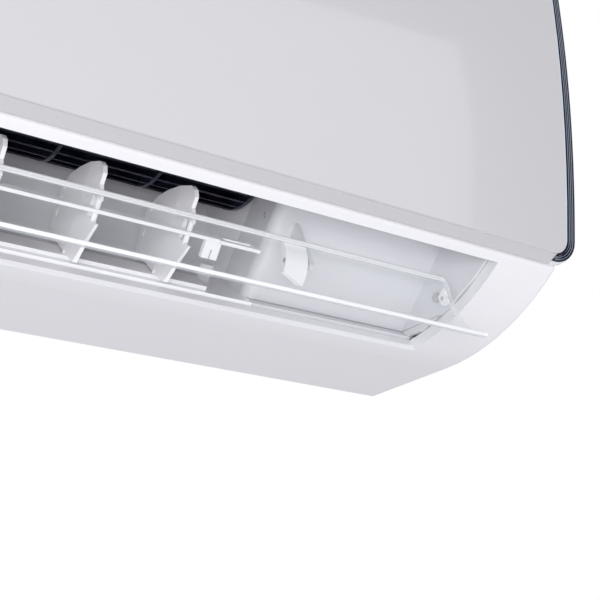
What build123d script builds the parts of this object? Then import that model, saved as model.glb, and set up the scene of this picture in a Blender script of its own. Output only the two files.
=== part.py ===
from build123d import *
import math
import os

# Wall-hung indoor unit of a split air conditioner. Millimetres.
# X runs along the unit, +X to its right as seen from the room.
# Y runs to the wall, which is the plane Y = 0. Z is up.
# The origin is the centre of the four screw holes of the wall plate.
# The helpers below take (x, depth, height): depth is measured out of the wall,
# height above the flat underside of the casing.

# ---- overall sizes ----
BODY_LENGTH = 838.0
CASING_HEIGHT = 284.0
FRAME_DEPTH = 190.0
UNDERSIDE_FLAT_DEPTH = 84.0
UNDERSIDE_FRONT_HEIGHT = 37.0
CASING_WALL = 2.6
CASING_TOP_RADIUS = 12.0
CASING_END_RADIUS = 2.5
CASING_FOOT_RADIUS = 2.0
PATTERN_HEIGHT = 150.0

# ---- wall plate ----
PLATE_LENGTH = 600.0
PLATE_LOW = 62.0
PLATE_HIGH = 238.0
PLATE_THICKNESS = 1.2
PLATE_HOLE_RADIUS = 3.0
PLATE_HOLE_SPAN = 400.0
PLATE_HOLE_RISE = 120.0
PLATE_SLOT_PITCH = 74.0
PLATE_SLOT_LENGTH = 48.0
PLATE_SLOT_WIDTH = 18.0
PLATE_SLOT_RISE = 23.0
HOOK_REACH = 6.5
HOOK_SPAN = 440.0
HOOK_WIDTH = 40.0
HOOK_DROP = 10.0

# ---- front panel, a curved plate between two dark ribbed edge strips, on a back frame ----
# The plate is as long as the casing, and the strips slope back beyond both ends of it.
TRIM_WIDTH = 11.0
TRIM_SLOPE_START = 1.2
TRIM_SLOPE_END = 4.8
PANEL_PLATE_TOP = 276.2
PANEL_TOP = 278.0
PANEL_PLATE_LOW = 42.6
PANEL_TRIM_LOW = 40.2
PANEL_FRAME_LOW = 39.0
PANEL_CURVE_RADIUS = 1000.0
PANEL_CURVE_HEIGHT = 170.0
PANEL_CROWN_STAND = 18.5
PANEL_PLATE_RADIUS = 10.0
PANEL_OUTER_RADIUS = 15.0
PANEL_PLATE_THICKNESS = 2.2
PANEL_EDGE_ROUND = 0.7
TRIM_THICKNESS = 4.2
TRIM_RIB_COUNT = 3
TRIM_RIB_WIDTH = 1.1
TRIM_GROOVE_DEPTH = 0.9
TRIM_UNDERLAP = 5.0
PANEL_FOOT_MARGIN = 7.5
PANEL_FOOT_GAP = 0.2
PANEL_FRAME_INSET = 1.0
PANEL_FRAME_WIDTH = 14.0
PANEL_RIB_THICKNESS = 2.0
PANEL_REAR_CLEARANCE = 0.8
PANEL_PIN_RADIUS = 2.0
PANEL_PIN_CLEARANCE = 0.06
PANEL_PIN_DEPTH = 192.5
PANEL_PIN_HEIGHT = 277.0
PANEL_EAR_MARGIN = 17.0
PANEL_EAR_WIDTH = 4.0
PANEL_EAR_RADIUS = 3.3
PANEL_LUG_WIDTH = 3.5
PANEL_LUG_GAP = 0.6

# ---- air outlet ----
OUTLET_END_MARGIN = 44.0
OUTLET_REAR_DEPTH = 101.0
OUTLET_FRONT_DEPTH = 185.5
RIM_DEPTH = 8.0
RIM_WALL = 3.0
DUCT_RIGHT_MARGIN = 166.0
DUCT_WALL = 2.5
FLOW_ANGLE = 38.7
FLOOR_LEVEL = 70.0
FLOOR_REAR = 23.4
FLOOR_FRONT = 70.0
FLOOR_LUG_HEIGHT = 5.5
FLOOR_LUG_LENGTH = 9.0
FLOOR_LUG_MARGIN = 17.0
POCKET_END_INSET = 2.0
POCKET_CORNER_RADIUS = 8.0
ROOF_OVERLAP = 4.0

# ---- front openings behind the panel and the intake grille ----
WINDOW_LOW = 108.0
WINDOW_HIGH = 262.0
WINDOW_INSET = 1.0
MULLION_WIDTH = 16.0
FILTER_GAP = 2.0
GRILLE_LEFT_MARGIN = 34.0
GRILLE_RIGHT_MARGIN = 119.0
GRILLE_REAR = 28.0
GRILLE_FRONT = 166.0
GRILLE_FLANGE = 5.0
GRILLE_CLEARANCE = 0.3
GRILLE_SLOT_WIDTH = 9.0
GRILLE_SLOT_PITCH = 14.0
GRILLE_SLOT_ROWS = 3
GRILLE_BAR = 6.0

# ---- cross-flow fan ----
FAN_DEPTH = 95.0
FAN_HEIGHT = 121.0
FAN_RADIUS = 46.0
FAN_INNER_RADIUS = 35.0
FAN_BLADE_COUNT = 32
FAN_BLADE_THICKNESS = 1.1
FAN_RING_THICKNESS = 2.4
FAN_SEGMENTS = 10
FAN_END_GAP = 2.0
SPINDLE_RADIUS = 4.0
SHAFT_CLEARANCE = 0.05
BEARING_RADIUS = 11.0
CUSHION_RADIUS = 17.0
MOTOR_RADIUS = 42.0
MOTOR_GAP = 13.0
MOTOR_LENGTH = 62.0

# ---- clear horizontal louver ----
LOUVER_THICKNESS = 2.4
LOUVER_END_GAP = 4.0
LOUVER_PIVOT_REACH = 42.0
LOUVER_PIVOT_RISE = 2.9
LOUVER_PIN_RADIUS = 1.4
LOUVER_PIN_CLEARANCE = 0.05
LOUVER_ARM_THICKNESS = 2.5
LOUVER_BRACKET_WIDTH = 15.0
LOUVER_BRACKET_OVERHANG = 3.0
LOUVER_LUG_GAP = 1.0
LOUVER_LUG_THICKNESS = 3.0
END_WALL_CAP_RADIUS = 3.1
STEPPER_GAP = 3.5
STEPPER_RADIUS = 14.0
STEPPER_LENGTH = 19.0

# ---- upright vanes ----
VANE_RIGHT_MARGIN = 59.0
VANE_LEFT_MARGIN = 72.0
VANE_COUNT = 10
VANES_PER_BANK = 5
VANE_HALF_THICKNESS = 1.9
VANE_EDGE_HALF_THICKNESS = 0.6
VANE_PIVOT_ALONG = 60.0
VANE_LINK_ALONG = 84.0
VANE_LINK_LEVEL = 106.0
VANE_PIN_RADIUS = 2.5
VANE_LINK_PIN_RADIUS = 1.6
VANE_PIN_CLEARANCE = 0.06
RAIL_THICKNESS = 2.2
RAIL_END_REACH = 32.0
VANE_GAP = 0.6
LINK_BAR_THICKNESS = 2.0
LINK_BAR_WIDTH = 8.0
LINK_BAR_END_REACH = 44.0
LINK_SLOT_LENGTH = 22.0
LINK_FORK_REACH = 15.0

# ---- heat exchanger and pipes ----
FIN_PACK_INSET = 17.0
BEND_TUBE_RADIUS = 3.5
BEND_RADIUS = 10.0
GAS_PIPE_RADIUS = 4.75
LIQUID_PIPE_RADIUS = 3.2
PIPE_END_X = -60.0
INSULATION_RADIUS = 11.0

# ---- places that follow from the sizes ----
FLOW_COS = math.cos(math.radians(FLOW_ANGLE))
FLOW_SIN = math.sin(math.radians(FLOW_ANGLE))
HALF_BODY = BODY_LENGTH / 2
HALF_PANEL = HALF_BODY + TRIM_WIDTH
HALF_FOOT = HALF_BODY - PANEL_FOOT_MARGIN
PANEL_EAR_X = HALF_BODY - PANEL_EAR_MARGIN
OUTLET_END_X = HALF_BODY - OUTLET_END_MARGIN
POCKET_END_X = OUTLET_END_X - POCKET_END_INSET
DUCT_LEFT_X = -POCKET_END_X
DUCT_RIGHT_X = HALF_BODY - DUCT_RIGHT_MARGIN
WINDOW_LEFT = DUCT_LEFT_X + WINDOW_INSET
WINDOW_RIGHT = DUCT_RIGHT_X - WINDOW_INSET
WINDOW_MIDDLE = (WINDOW_LEFT + WINDOW_RIGHT) / 2
GRILLE_LEFT = GRILLE_LEFT_MARGIN - HALF_BODY
GRILLE_RIGHT = HALF_BODY - GRILLE_RIGHT_MARGIN
MOTOR_LEFT_X = DUCT_RIGHT_X + MOTOR_GAP
MOTOR_RIGHT_X = MOTOR_LEFT_X + MOTOR_LENGTH
LOUVER_END_X = POCKET_END_X - LOUVER_END_GAP
LOUVER_BRACKET_LEFT = DUCT_RIGHT_X - LOUVER_BRACKET_OVERHANG
LOUVER_BRACKET_RIGHT = LOUVER_BRACKET_LEFT + LOUVER_BRACKET_WIDTH
STEPPER_LEFT_X = POCKET_END_X + DUCT_WALL + STEPPER_GAP
VANE_LAST_X = DUCT_RIGHT_X - VANE_RIGHT_MARGIN
VANE_FIRST_X = DUCT_LEFT_X + VANE_LEFT_MARGIN
VANE_PITCH = (VANE_LAST_X - VANE_FIRST_X) / (VANE_COUNT - 1)
FIN_PACK_LEFT = DUCT_LEFT_X + FIN_PACK_INSET
FIN_PACK_RIGHT = DUCT_RIGHT_X - FIN_PACK_INSET
UNDERSIDE_RUN = FRAME_DEPTH - UNDERSIDE_FLAT_DEPTH
UNDERSIDE_RADIUS = (UNDERSIDE_RUN**2 + UNDERSIDE_FRONT_HEIGHT**2) / (2 * UNDERSIDE_FRONT_HEIGHT)
PANEL_REAR = FRAME_DEPTH + PANEL_REAR_CLEARANCE
PANEL_FRONT_DEPTH = FRAME_DEPTH + PANEL_CROWN_STAND
LOUVER_PIVOT_DEPTH = OUTLET_REAR_DEPTH + LOUVER_PIVOT_REACH
LINE, ARC, SPLINE = "line", "arc", "spline"


def at(x, depth, height):
    """Point in the row frame from a place along the unit, a depth and a height."""
    return Vector(x, -depth, height - PATTERN_HEIGHT)


def flow(along, level):
    """Depth and height of a point given along the outlet floor and above it."""
    return FLOW_COS * along + FLOW_SIN * level, -FLOW_SIN * along + FLOW_COS * level


def block(x_low, x_high, depth_low, depth_high, height_low, height_high):
    """Rectangular solid between two corners."""
    centre = at((x_low + x_high) / 2, (depth_low + depth_high) / 2, (height_low + height_high) / 2)
    return Pos(centre) * Box(x_high - x_low, depth_high - depth_low, height_high - height_low)


def rod(x_low, x_high, depth, height, radius):
    """Round solid lying along X."""
    return Pos(at((x_low + x_high) / 2, depth, height)) * Rot(0, 90, 0) * Cylinder(radius, x_high - x_low)


def post(x, depth_low, depth_high, height, radius):
    """Round solid pointing out of the wall."""
    middle = at(x, (depth_low + depth_high) / 2, height)
    return Pos(middle) * Rot(90, 0, 0) * Cylinder(radius, depth_high - depth_low)


def outline(x, *pieces):
    """Closed face in the cross-section plane at x, from lines, arcs and splines of (depth, height)."""
    makers = {LINE: Polyline, ARC: ThreePointArc, SPLINE: Spline}
    edges = []
    for kind, points in pieces:
        placed = [at(x, depth, height) for depth, height in points]
        edges += makers[kind](*placed).edges()
    return make_face(Wire(edges))


def prism(x_low, x_high, *pieces):
    """Cross-section carried along X."""
    return extrude(outline(x_low, *pieces), amount=x_high - x_low, dir=(1, 0, 0))


def slab(x_low, x_high, *points):
    """Straight-sided cross-section carried along X."""
    return prism(x_low, x_high, (LINE, [*points, points[0]]))


def rounded_slab(x_low, x_high, radius, *points):
    """Straight-sided cross-section with rounded corners, carried along X."""
    face = fillet(outline(x_low, (LINE, [*points, points[0]])).vertices(), radius)
    return extrude(face, amount=x_high - x_low, dir=(1, 0, 0))


def flow_slab(x_low, x_high, *points):
    """As slab, with the points given along the outlet floor and above it."""
    return slab(x_low, x_high, *[flow(along, level) for along, level in points])


def flow_rod(x, along, level_low, level_high, radius):
    """Round solid standing square to the outlet floor."""
    depth, height = flow(along, (level_low + level_high) / 2)
    stand = Plane(origin=at(x, depth, height), x_dir=(1, 0, 0), z_dir=(0, -FLOW_SIN, FLOW_COS))
    return stand * Cylinder(radius, level_high - level_low)


def underside(inset, depth):
    """Height of the casing's underside at a depth, moved inwards by an inset."""
    if depth <= UNDERSIDE_FLAT_DEPTH:
        return inset
    reach = UNDERSIDE_RADIUS - inset
    return UNDERSIDE_RADIUS - math.sqrt(reach**2 - (depth - UNDERSIDE_FLAT_DEPTH) ** 2)


LOUVER_PIVOT_HEIGHT = underside(RIM_DEPTH, LOUVER_PIVOT_DEPTH) + LOUVER_PIVOT_RISE


def from_pivot(*offsets):
    """Places given by their distance in front of and above the louver's pivot."""
    return [(LOUVER_PIVOT_DEPTH + forward, LOUVER_PIVOT_HEIGHT + up) for forward, up in offsets]


def casing_section(inset, rear):
    """Outline of the casing, moved inwards by an inset: flat then curved underside, front and top."""
    front = FRAME_DEPTH - inset
    top = CASING_HEIGHT - inset
    radius = CASING_TOP_RADIUS - inset
    bend = radius * (1 - math.cos(math.radians(45)))
    middle = (UNDERSIDE_FLAT_DEPTH + front) / 2
    foot = underside(inset, front)
    return [
        (LINE, [(rear, top), (rear, inset), (UNDERSIDE_FLAT_DEPTH, inset)]),
        (ARC, [(UNDERSIDE_FLAT_DEPTH, inset), (middle, underside(inset, middle)), (front, foot)]),
        (LINE, [(front, foot), (front, top - radius)]),
        (ARC, [(front, top - radius), (front - bend, top - bend), (front - radius, top)]),
        (LINE, [(front - radius, top), (rear, top)]),
    ]


def casing_block(inset, rear, half_length):
    """Solid filling the casing, moved inwards by an inset."""
    return prism(-half_length, half_length, *casing_section(inset, rear))


def outlet_mouth(x_low, x_high, rear_depth, front_depth):
    """Solid that cuts the outlet through the underside between two depths."""
    return slab(
        x_low,
        x_high,
        (rear_depth, -20),
        (rear_depth, 4),
        (rear_depth - 3, 9),
        (rear_depth - 3, 60),
        (front_depth, 60),
        (front_depth, -20),
    )


# The scroll is the curved rear wall of the air path. It runs down behind the fan
# and ends in the straight outlet floor.
SCROLL_TOP = (46.0, 150.0)
SCROLL_POINTS = [SCROLL_TOP, (38.5, 112.0), (41.5, 86.0), (48.5, 63.0), flow(FLOOR_REAR, FLOOR_LEVEL)]
SCROLL_FOOT = flow(FLOOR_REAR, FLOOR_LEVEL - DUCT_WALL)
SCROLL_OUTER = [(43.5, 150.0), (36.0, 112.0), (39.0, 85.3), (46.2, 61.8), SCROLL_FOOT]
SEAM_LOW = flow(FLOOR_REAR + 4, FLOOR_LEVEL)
SEAM_HIGH = (102.0, 77.0)
SEAM_TOP = (124.0, 99.0)
TONGUE = (141.0, 98.0)
LIP_TOP = (183.0, 46.0)
POCKET_LOW = (92.5, 15.6)
POCKET_HIGH = (141.0, 66.0)
TONGUE_REAR = (138.5, 99.0)


def make_wall_plate():
    """Pressed steel sheet with screw holes, weight-saving slots and two hooks at its top edge."""
    half = PLATE_LENGTH / 2
    plate = block(-half, half, 0, PLATE_THICKNESS, PLATE_LOW, PLATE_HIGH)
    for side in (-1, 1):
        for rise in (-1, 1):
            x = side * PLATE_HOLE_SPAN / 2
            height = PATTERN_HEIGHT + rise * PLATE_HOLE_RISE / 2
            plate -= post(x, -1, PLATE_THICKNESS + 1, height, PLATE_HOLE_RADIUS)
    for index in range(-3, 4):
        middle = index * PLATE_SLOT_PITCH
        left, right = middle - PLATE_SLOT_LENGTH / 2, middle + PLATE_SLOT_LENGTH / 2
        for rise in (-1, 1):
            slot = PATTERN_HEIGHT + rise * PLATE_SLOT_RISE
            low, high = slot - PLATE_SLOT_WIDTH / 2, slot + PLATE_SLOT_WIDTH / 2
            plate -= block(left, right, -1, PLATE_THICKNESS + 1, low, high)
    # a pressed rib stiffens the sheet along its foot
    plate += block(-half, half, PLATE_THICKNESS, HOOK_REACH, PLATE_LOW, PLATE_LOW + PLATE_THICKNESS)
    for side in (-1, 1):
        middle = side * HOOK_SPAN / 2
        left, right = middle - HOOK_WIDTH / 2, middle + HOOK_WIDTH / 2
        hook_low = PLATE_HIGH - HOOK_DROP
        plate += block(left, right, PLATE_THICKNESS, HOOK_REACH, hook_low, hook_low + PLATE_THICKNESS)
        plate += block(left, right, HOOK_REACH - PLATE_THICKNESS, HOOK_REACH, hook_low, PLATE_HIGH)
    return plate


BACK_REAR = 8.0
BACK_FRONT = 10.5
BACK_LOW = 64.0
BACK_HIGH = 262.0
BACK_INSET = 10.0
GUTTER_HEIGHT = 138.0
GUTTER_FRONT = 41.0
CRADLE_LOW = 70.0
CRADLE_REACH = 38.0
BEARING_SEAT_LENGTH = 20.0


def make_rear_chassis(duct):
    """Rear moulding: back wall, side flanges, gutter, fin pack ribs and ledges for the wall plate's hooks."""
    half = HALF_BODY - BACK_INSET
    chassis = block(-half, half, BACK_REAR, BACK_FRONT, BACK_LOW, BACK_HIGH)
    for side in (-1, 1):
        inner, outer = side * (half - DUCT_WALL), side * half
        chassis += block(min(inner, outer), max(inner, outer), BACK_REAR, 70, BACK_LOW, BACK_HIGH)
    # gutter under the rear fin pack, and ribs that carry the pack on it
    left, right = DUCT_LEFT_X - DUCT_WALL, DUCT_RIGHT_X + DUCT_WALL
    chassis += block(left, right, BACK_REAR, GUTTER_FRONT, GUTTER_HEIGHT, GUTTER_HEIGHT + DUCT_WALL)
    for index in range(4):
        x = left + (right - left) * (index + 0.5) / 4
        low = GUTTER_HEIGHT + 2
        foot = [(10, low), (GUTTER_FRONT, low)]
        chassis += slab(x, x + DUCT_WALL, *foot, (44.1, 158.3), (22, 172), (10, 172))
    # ledge behind the motor cradle
    ledge_left, ledge_front = MOTOR_LEFT_X + 38, FAN_DEPTH - CRADLE_REACH
    chassis += block(ledge_left, MOTOR_RIGHT_X, BACK_REAR, ledge_front, CRADLE_LOW, CRADLE_LOW + 12)
    for side in (-1, 1):
        middle = side * HOOK_SPAN / 2
        half = HOOK_WIDTH / 2 + 5
        chassis += block(middle - half, middle + half, 1.8, BACK_REAR, PLATE_HIGH, PLATE_HIGH + DUCT_WALL)
        chassis += block(middle - half, middle + half, 1.8, 4.2, PLATE_HIGH - 7, PLATE_HIGH)
    return chassis - duct


def make_air_duct():
    """Moulding round the fan: scroll, outlet floor, end walls, bearing seat and motor cradle."""
    left, right = DUCT_LEFT_X - DUCT_WALL, DUCT_RIGHT_X + DUCT_WALL
    floor_end = flow(FLOOR_FRONT, FLOOR_LEVEL)
    floor_end_low = flow(FLOOR_FRONT, FLOOR_LEVEL - DUCT_WALL)
    duct = prism(
        left,
        right,
        (SPLINE, SCROLL_POINTS),
        (LINE, [SCROLL_POINTS[-1], floor_end, floor_end_low, SCROLL_OUTER[-1]]),
        (SPLINE, SCROLL_OUTER[::-1]),
        (LINE, [SCROLL_OUTER[0], SCROLL_POINTS[0]]),
    )
    end_section = [
        (SPLINE, SCROLL_OUTER),
        (LINE, [SCROLL_OUTER[-1], SEAM_LOW, SEAM_HIGH, SEAM_TOP, TONGUE_REAR]),
        (LINE, [TONGUE_REAR, (TONGUE_REAR[0], SCROLL_TOP[1]), SCROLL_OUTER[0]]),
    ]
    duct += prism(left, DUCT_LEFT_X, *end_section)
    duct += prism(DUCT_RIGHT_X, right, *end_section)
    # small lug on the outlet floor near the right end wall
    low, high = FLOOR_LEVEL - 1, FLOOR_LEVEL + FLOOR_LUG_HEIGHT
    lug_left = DUCT_RIGHT_X - FLOOR_LUG_MARGIN
    duct += flow_slab(lug_left, lug_left + FLOOR_LUG_LENGTH, (19, low), (26, low), (26, high), (19, high))
    seat_left = left - BEARING_SEAT_LENGTH
    duct += block(seat_left, left, FAN_DEPTH - 21, FAN_DEPTH + 21, FAN_HEIGHT - 26, FAN_HEIGHT + 21)
    duct -= rod(seat_left - 1, left - 2, FAN_DEPTH, FAN_HEIGHT, CUSHION_RADIUS)
    cradle_rear, cradle_front = FAN_DEPTH - CRADLE_REACH, FAN_DEPTH + CRADLE_REACH
    cradle = block(right, MOTOR_RIGHT_X, cradle_rear, cradle_front, CRADLE_LOW, FAN_HEIGHT - 6)
    duct += cradle - rod(right + 4, MOTOR_RIGHT_X + 1, FAN_DEPTH, FAN_HEIGHT, MOTOR_RADIUS)
    duct -= rod(left - 3, DUCT_LEFT_X + 1, FAN_DEPTH, FAN_HEIGHT, SPINDLE_RADIUS * 2)
    duct -= rod(DUCT_RIGHT_X - 1, MOTOR_LEFT_X, FAN_DEPTH, FAN_HEIGHT, SPINDLE_RADIUS * 2)
    return duct


def make_front_casing():
    """White outer moulding: ends, underside with the outlet and its rim, front frame and top."""
    casing = casing_block(0, 0, HALF_BODY)
    foot = at(0, FRAME_DEPTH, UNDERSIDE_FRONT_HEIGHT)
    casing = fillet(casing.edges().sort_by_distance(foot)[0], CASING_FOOT_RADIUS)
    end_edges = [
        edge
        for face in (casing.faces().sort_by(Axis.X)[0], casing.faces().sort_by(Axis.X)[-1])
        for edge in face.edges()
        if edge.center().Y < -1
    ]
    casing = fillet(end_edges, CASING_END_RADIUS)
    casing -= casing_block(CASING_WALL, -1, HALF_BODY - CASING_WALL)
    # rim that stands inwards all round the outlet
    rim_end_x = OUTLET_END_X + RIM_WALL
    rim = casing_block(0, 0, rim_end_x) - casing_block(RIM_DEPTH, -1, rim_end_x + 1)
    rim_front = OUTLET_FRONT_DEPTH + RIM_WALL
    rim &= block(-HALF_BODY, HALF_BODY, OUTLET_REAR_DEPTH - 6, rim_front, -1, UNDERSIDE_FRONT_HEIGHT + 6)
    floor_low, floor_front = FLOOR_LEVEL - DUCT_WALL, FLOOR_FRONT + 0.3
    floor_room = [(20, floor_low), (floor_front, floor_low), (floor_front, 100), (20, 100)]
    rim -= flow_slab(-HALF_BODY, HALF_BODY, *floor_room)
    casing += rim
    casing -= outlet_mouth(-OUTLET_END_X, OUTLET_END_X, OUTLET_REAR_DEPTH, OUTLET_FRONT_DEPTH)
    # two filter windows in the front frame and the intake opening in the top
    left_window = (WINDOW_LEFT, WINDOW_MIDDLE - MULLION_WIDTH / 2)
    right_window = (WINDOW_MIDDLE + MULLION_WIDTH / 2, WINDOW_RIGHT)
    for low, high in (left_window, right_window):
        casing -= block(low, high, FRAME_DEPTH - CASING_WALL - 1, FRAME_DEPTH + 1, WINDOW_LOW, WINDOW_HIGH)
    top_low, top_high = CASING_HEIGHT - 4, CASING_HEIGHT + 1
    casing -= block(GRILLE_LEFT, GRILLE_RIGHT, GRILLE_REAR, GRILLE_FRONT, top_low, top_high)
    # screw holes and button hole in the front frame
    for x in CASING_SCREW_X:
        casing -= post(x, FRAME_DEPTH - 4, FRAME_DEPTH + 1, CASING_SCREW_HEIGHT, SCREW_RADIUS + 0.2)
    button_hole = BUTTON_RADIUS + BUTTON_CLEARANCE
    casing -= post(BUTTON_X, FRAME_DEPTH - 4, FRAME_DEPTH + 1, BUTTON_HEIGHT, button_hole)
    # posts that carry the receiver board
    for x in (BOARD_LEFT + 5, BOARD_RIGHT - 5):
        for height in (BOARD_LOW + 5, BOARD_HIGH - 5):
            casing += post(x, BOARD_DEPTH, FRAME_DEPTH - CASING_WALL + 0.5, height, 3)
    # pipe openings low at the rear of both ends
    for side in (-1, 1):
        low, high = sorted((side * (HALF_BODY - CASING_WALL - 1), side * (HALF_BODY + 1)))
        casing -= block(low, high, KNOCKOUT_REAR, KNOCKOUT_FRONT, KNOCKOUT_LOW, KNOCKOUT_HIGH)
    # ears for the panel's hinge pins
    for side in (-1, 1):
        left = side * PANEL_EAR_X - PANEL_EAR_WIDTH / 2
        ear = rod(left, left + PANEL_EAR_WIDTH, PANEL_PIN_DEPTH, PANEL_PIN_HEIGHT, PANEL_EAR_RADIUS)
        ear += slab(
            left,
            left + PANEL_EAR_WIDTH,
            (FRAME_DEPTH - 6, PANEL_PIN_HEIGHT - 1),
            (PANEL_PIN_DEPTH, PANEL_PIN_HEIGHT + PANEL_EAR_RADIUS),
            (PANEL_PIN_DEPTH, PANEL_PIN_HEIGHT - PANEL_EAR_RADIUS),
            (FRAME_DEPTH - 1, PANEL_PIN_HEIGHT - 8),
        )
        casing += ear
        pin_hole = PANEL_PIN_RADIUS + PANEL_PIN_CLEARANCE
        casing -= rod(left - 1, left + PANEL_EAR_WIDTH + 2, PANEL_PIN_DEPTH, PANEL_PIN_HEIGHT, pin_hole)
    return casing


CASING_SCREW_X = (DUCT_LEFT_X + 43.0, WINDOW_MIDDLE, DUCT_RIGHT_X - 53.0)
CASING_SCREW_HEIGHT = 72.0
SCREW_RADIUS = 1.9
SCREW_HEAD_RADIUS = 4.0
BUTTON_X = HALF_BODY - 89.0
BUTTON_HEIGHT = 82.0
BUTTON_RADIUS = 5.0
BUTTON_CLEARANCE = 0.08
BUTTON_TRAVEL = 1.2
BOARD_LEFT = HALF_BODY - 123.0
BOARD_RIGHT = HALF_BODY - 27.0
BOARD_LOW = 64.0
BOARD_HIGH = 100.0
BOARD_DEPTH = FRAME_DEPTH - 11.0
SWITCH_HEIGHT = 4.2
KNOCKOUT_REAR = 6.0
KNOCKOUT_FRONT = 50.0
KNOCKOUT_LOW = 8.0
KNOCKOUT_HIGH = 52.0


def make_intake_grille():
    """Top grille: a flanged plate with rows of slots, dropped into the casing's top."""
    gap = GRILLE_CLEARANCE
    inner_top = CASING_HEIGHT - CASING_WALL
    grille = block(
        GRILLE_LEFT + gap, GRILLE_RIGHT - gap, GRILLE_REAR + gap, GRILLE_FRONT - gap, inner_top, CASING_HEIGHT
    )
    grille += block(
        GRILLE_LEFT - GRILLE_FLANGE,
        GRILLE_RIGHT + GRILLE_FLANGE,
        GRILLE_REAR - GRILLE_FLANGE,
        GRILLE_FRONT + GRILLE_FLANGE,
        inner_top - 2,
        inner_top,
    )
    row_depth = (GRILLE_FRONT - GRILLE_REAR - GRILLE_BAR * (GRILLE_SLOT_ROWS + 1)) / GRILLE_SLOT_ROWS
    columns = int((GRILLE_RIGHT - GRILLE_LEFT - GRILLE_SLOT_PITCH) // GRILLE_SLOT_PITCH)
    first = (GRILLE_LEFT + GRILLE_RIGHT) / 2 - (columns - 1) * GRILLE_SLOT_PITCH / 2
    half = GRILLE_SLOT_WIDTH / 2
    slots = []
    for column in range(columns):
        x = first + column * GRILLE_SLOT_PITCH
        for row in range(GRILLE_SLOT_ROWS):
            rear = GRILLE_REAR + GRILLE_BAR + row * (row_depth + GRILLE_BAR)
            slots.append(block(x - half, x + half, rear, rear + row_depth, inner_top - 3, CASING_HEIGHT + 1))
    return grille - slots


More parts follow.
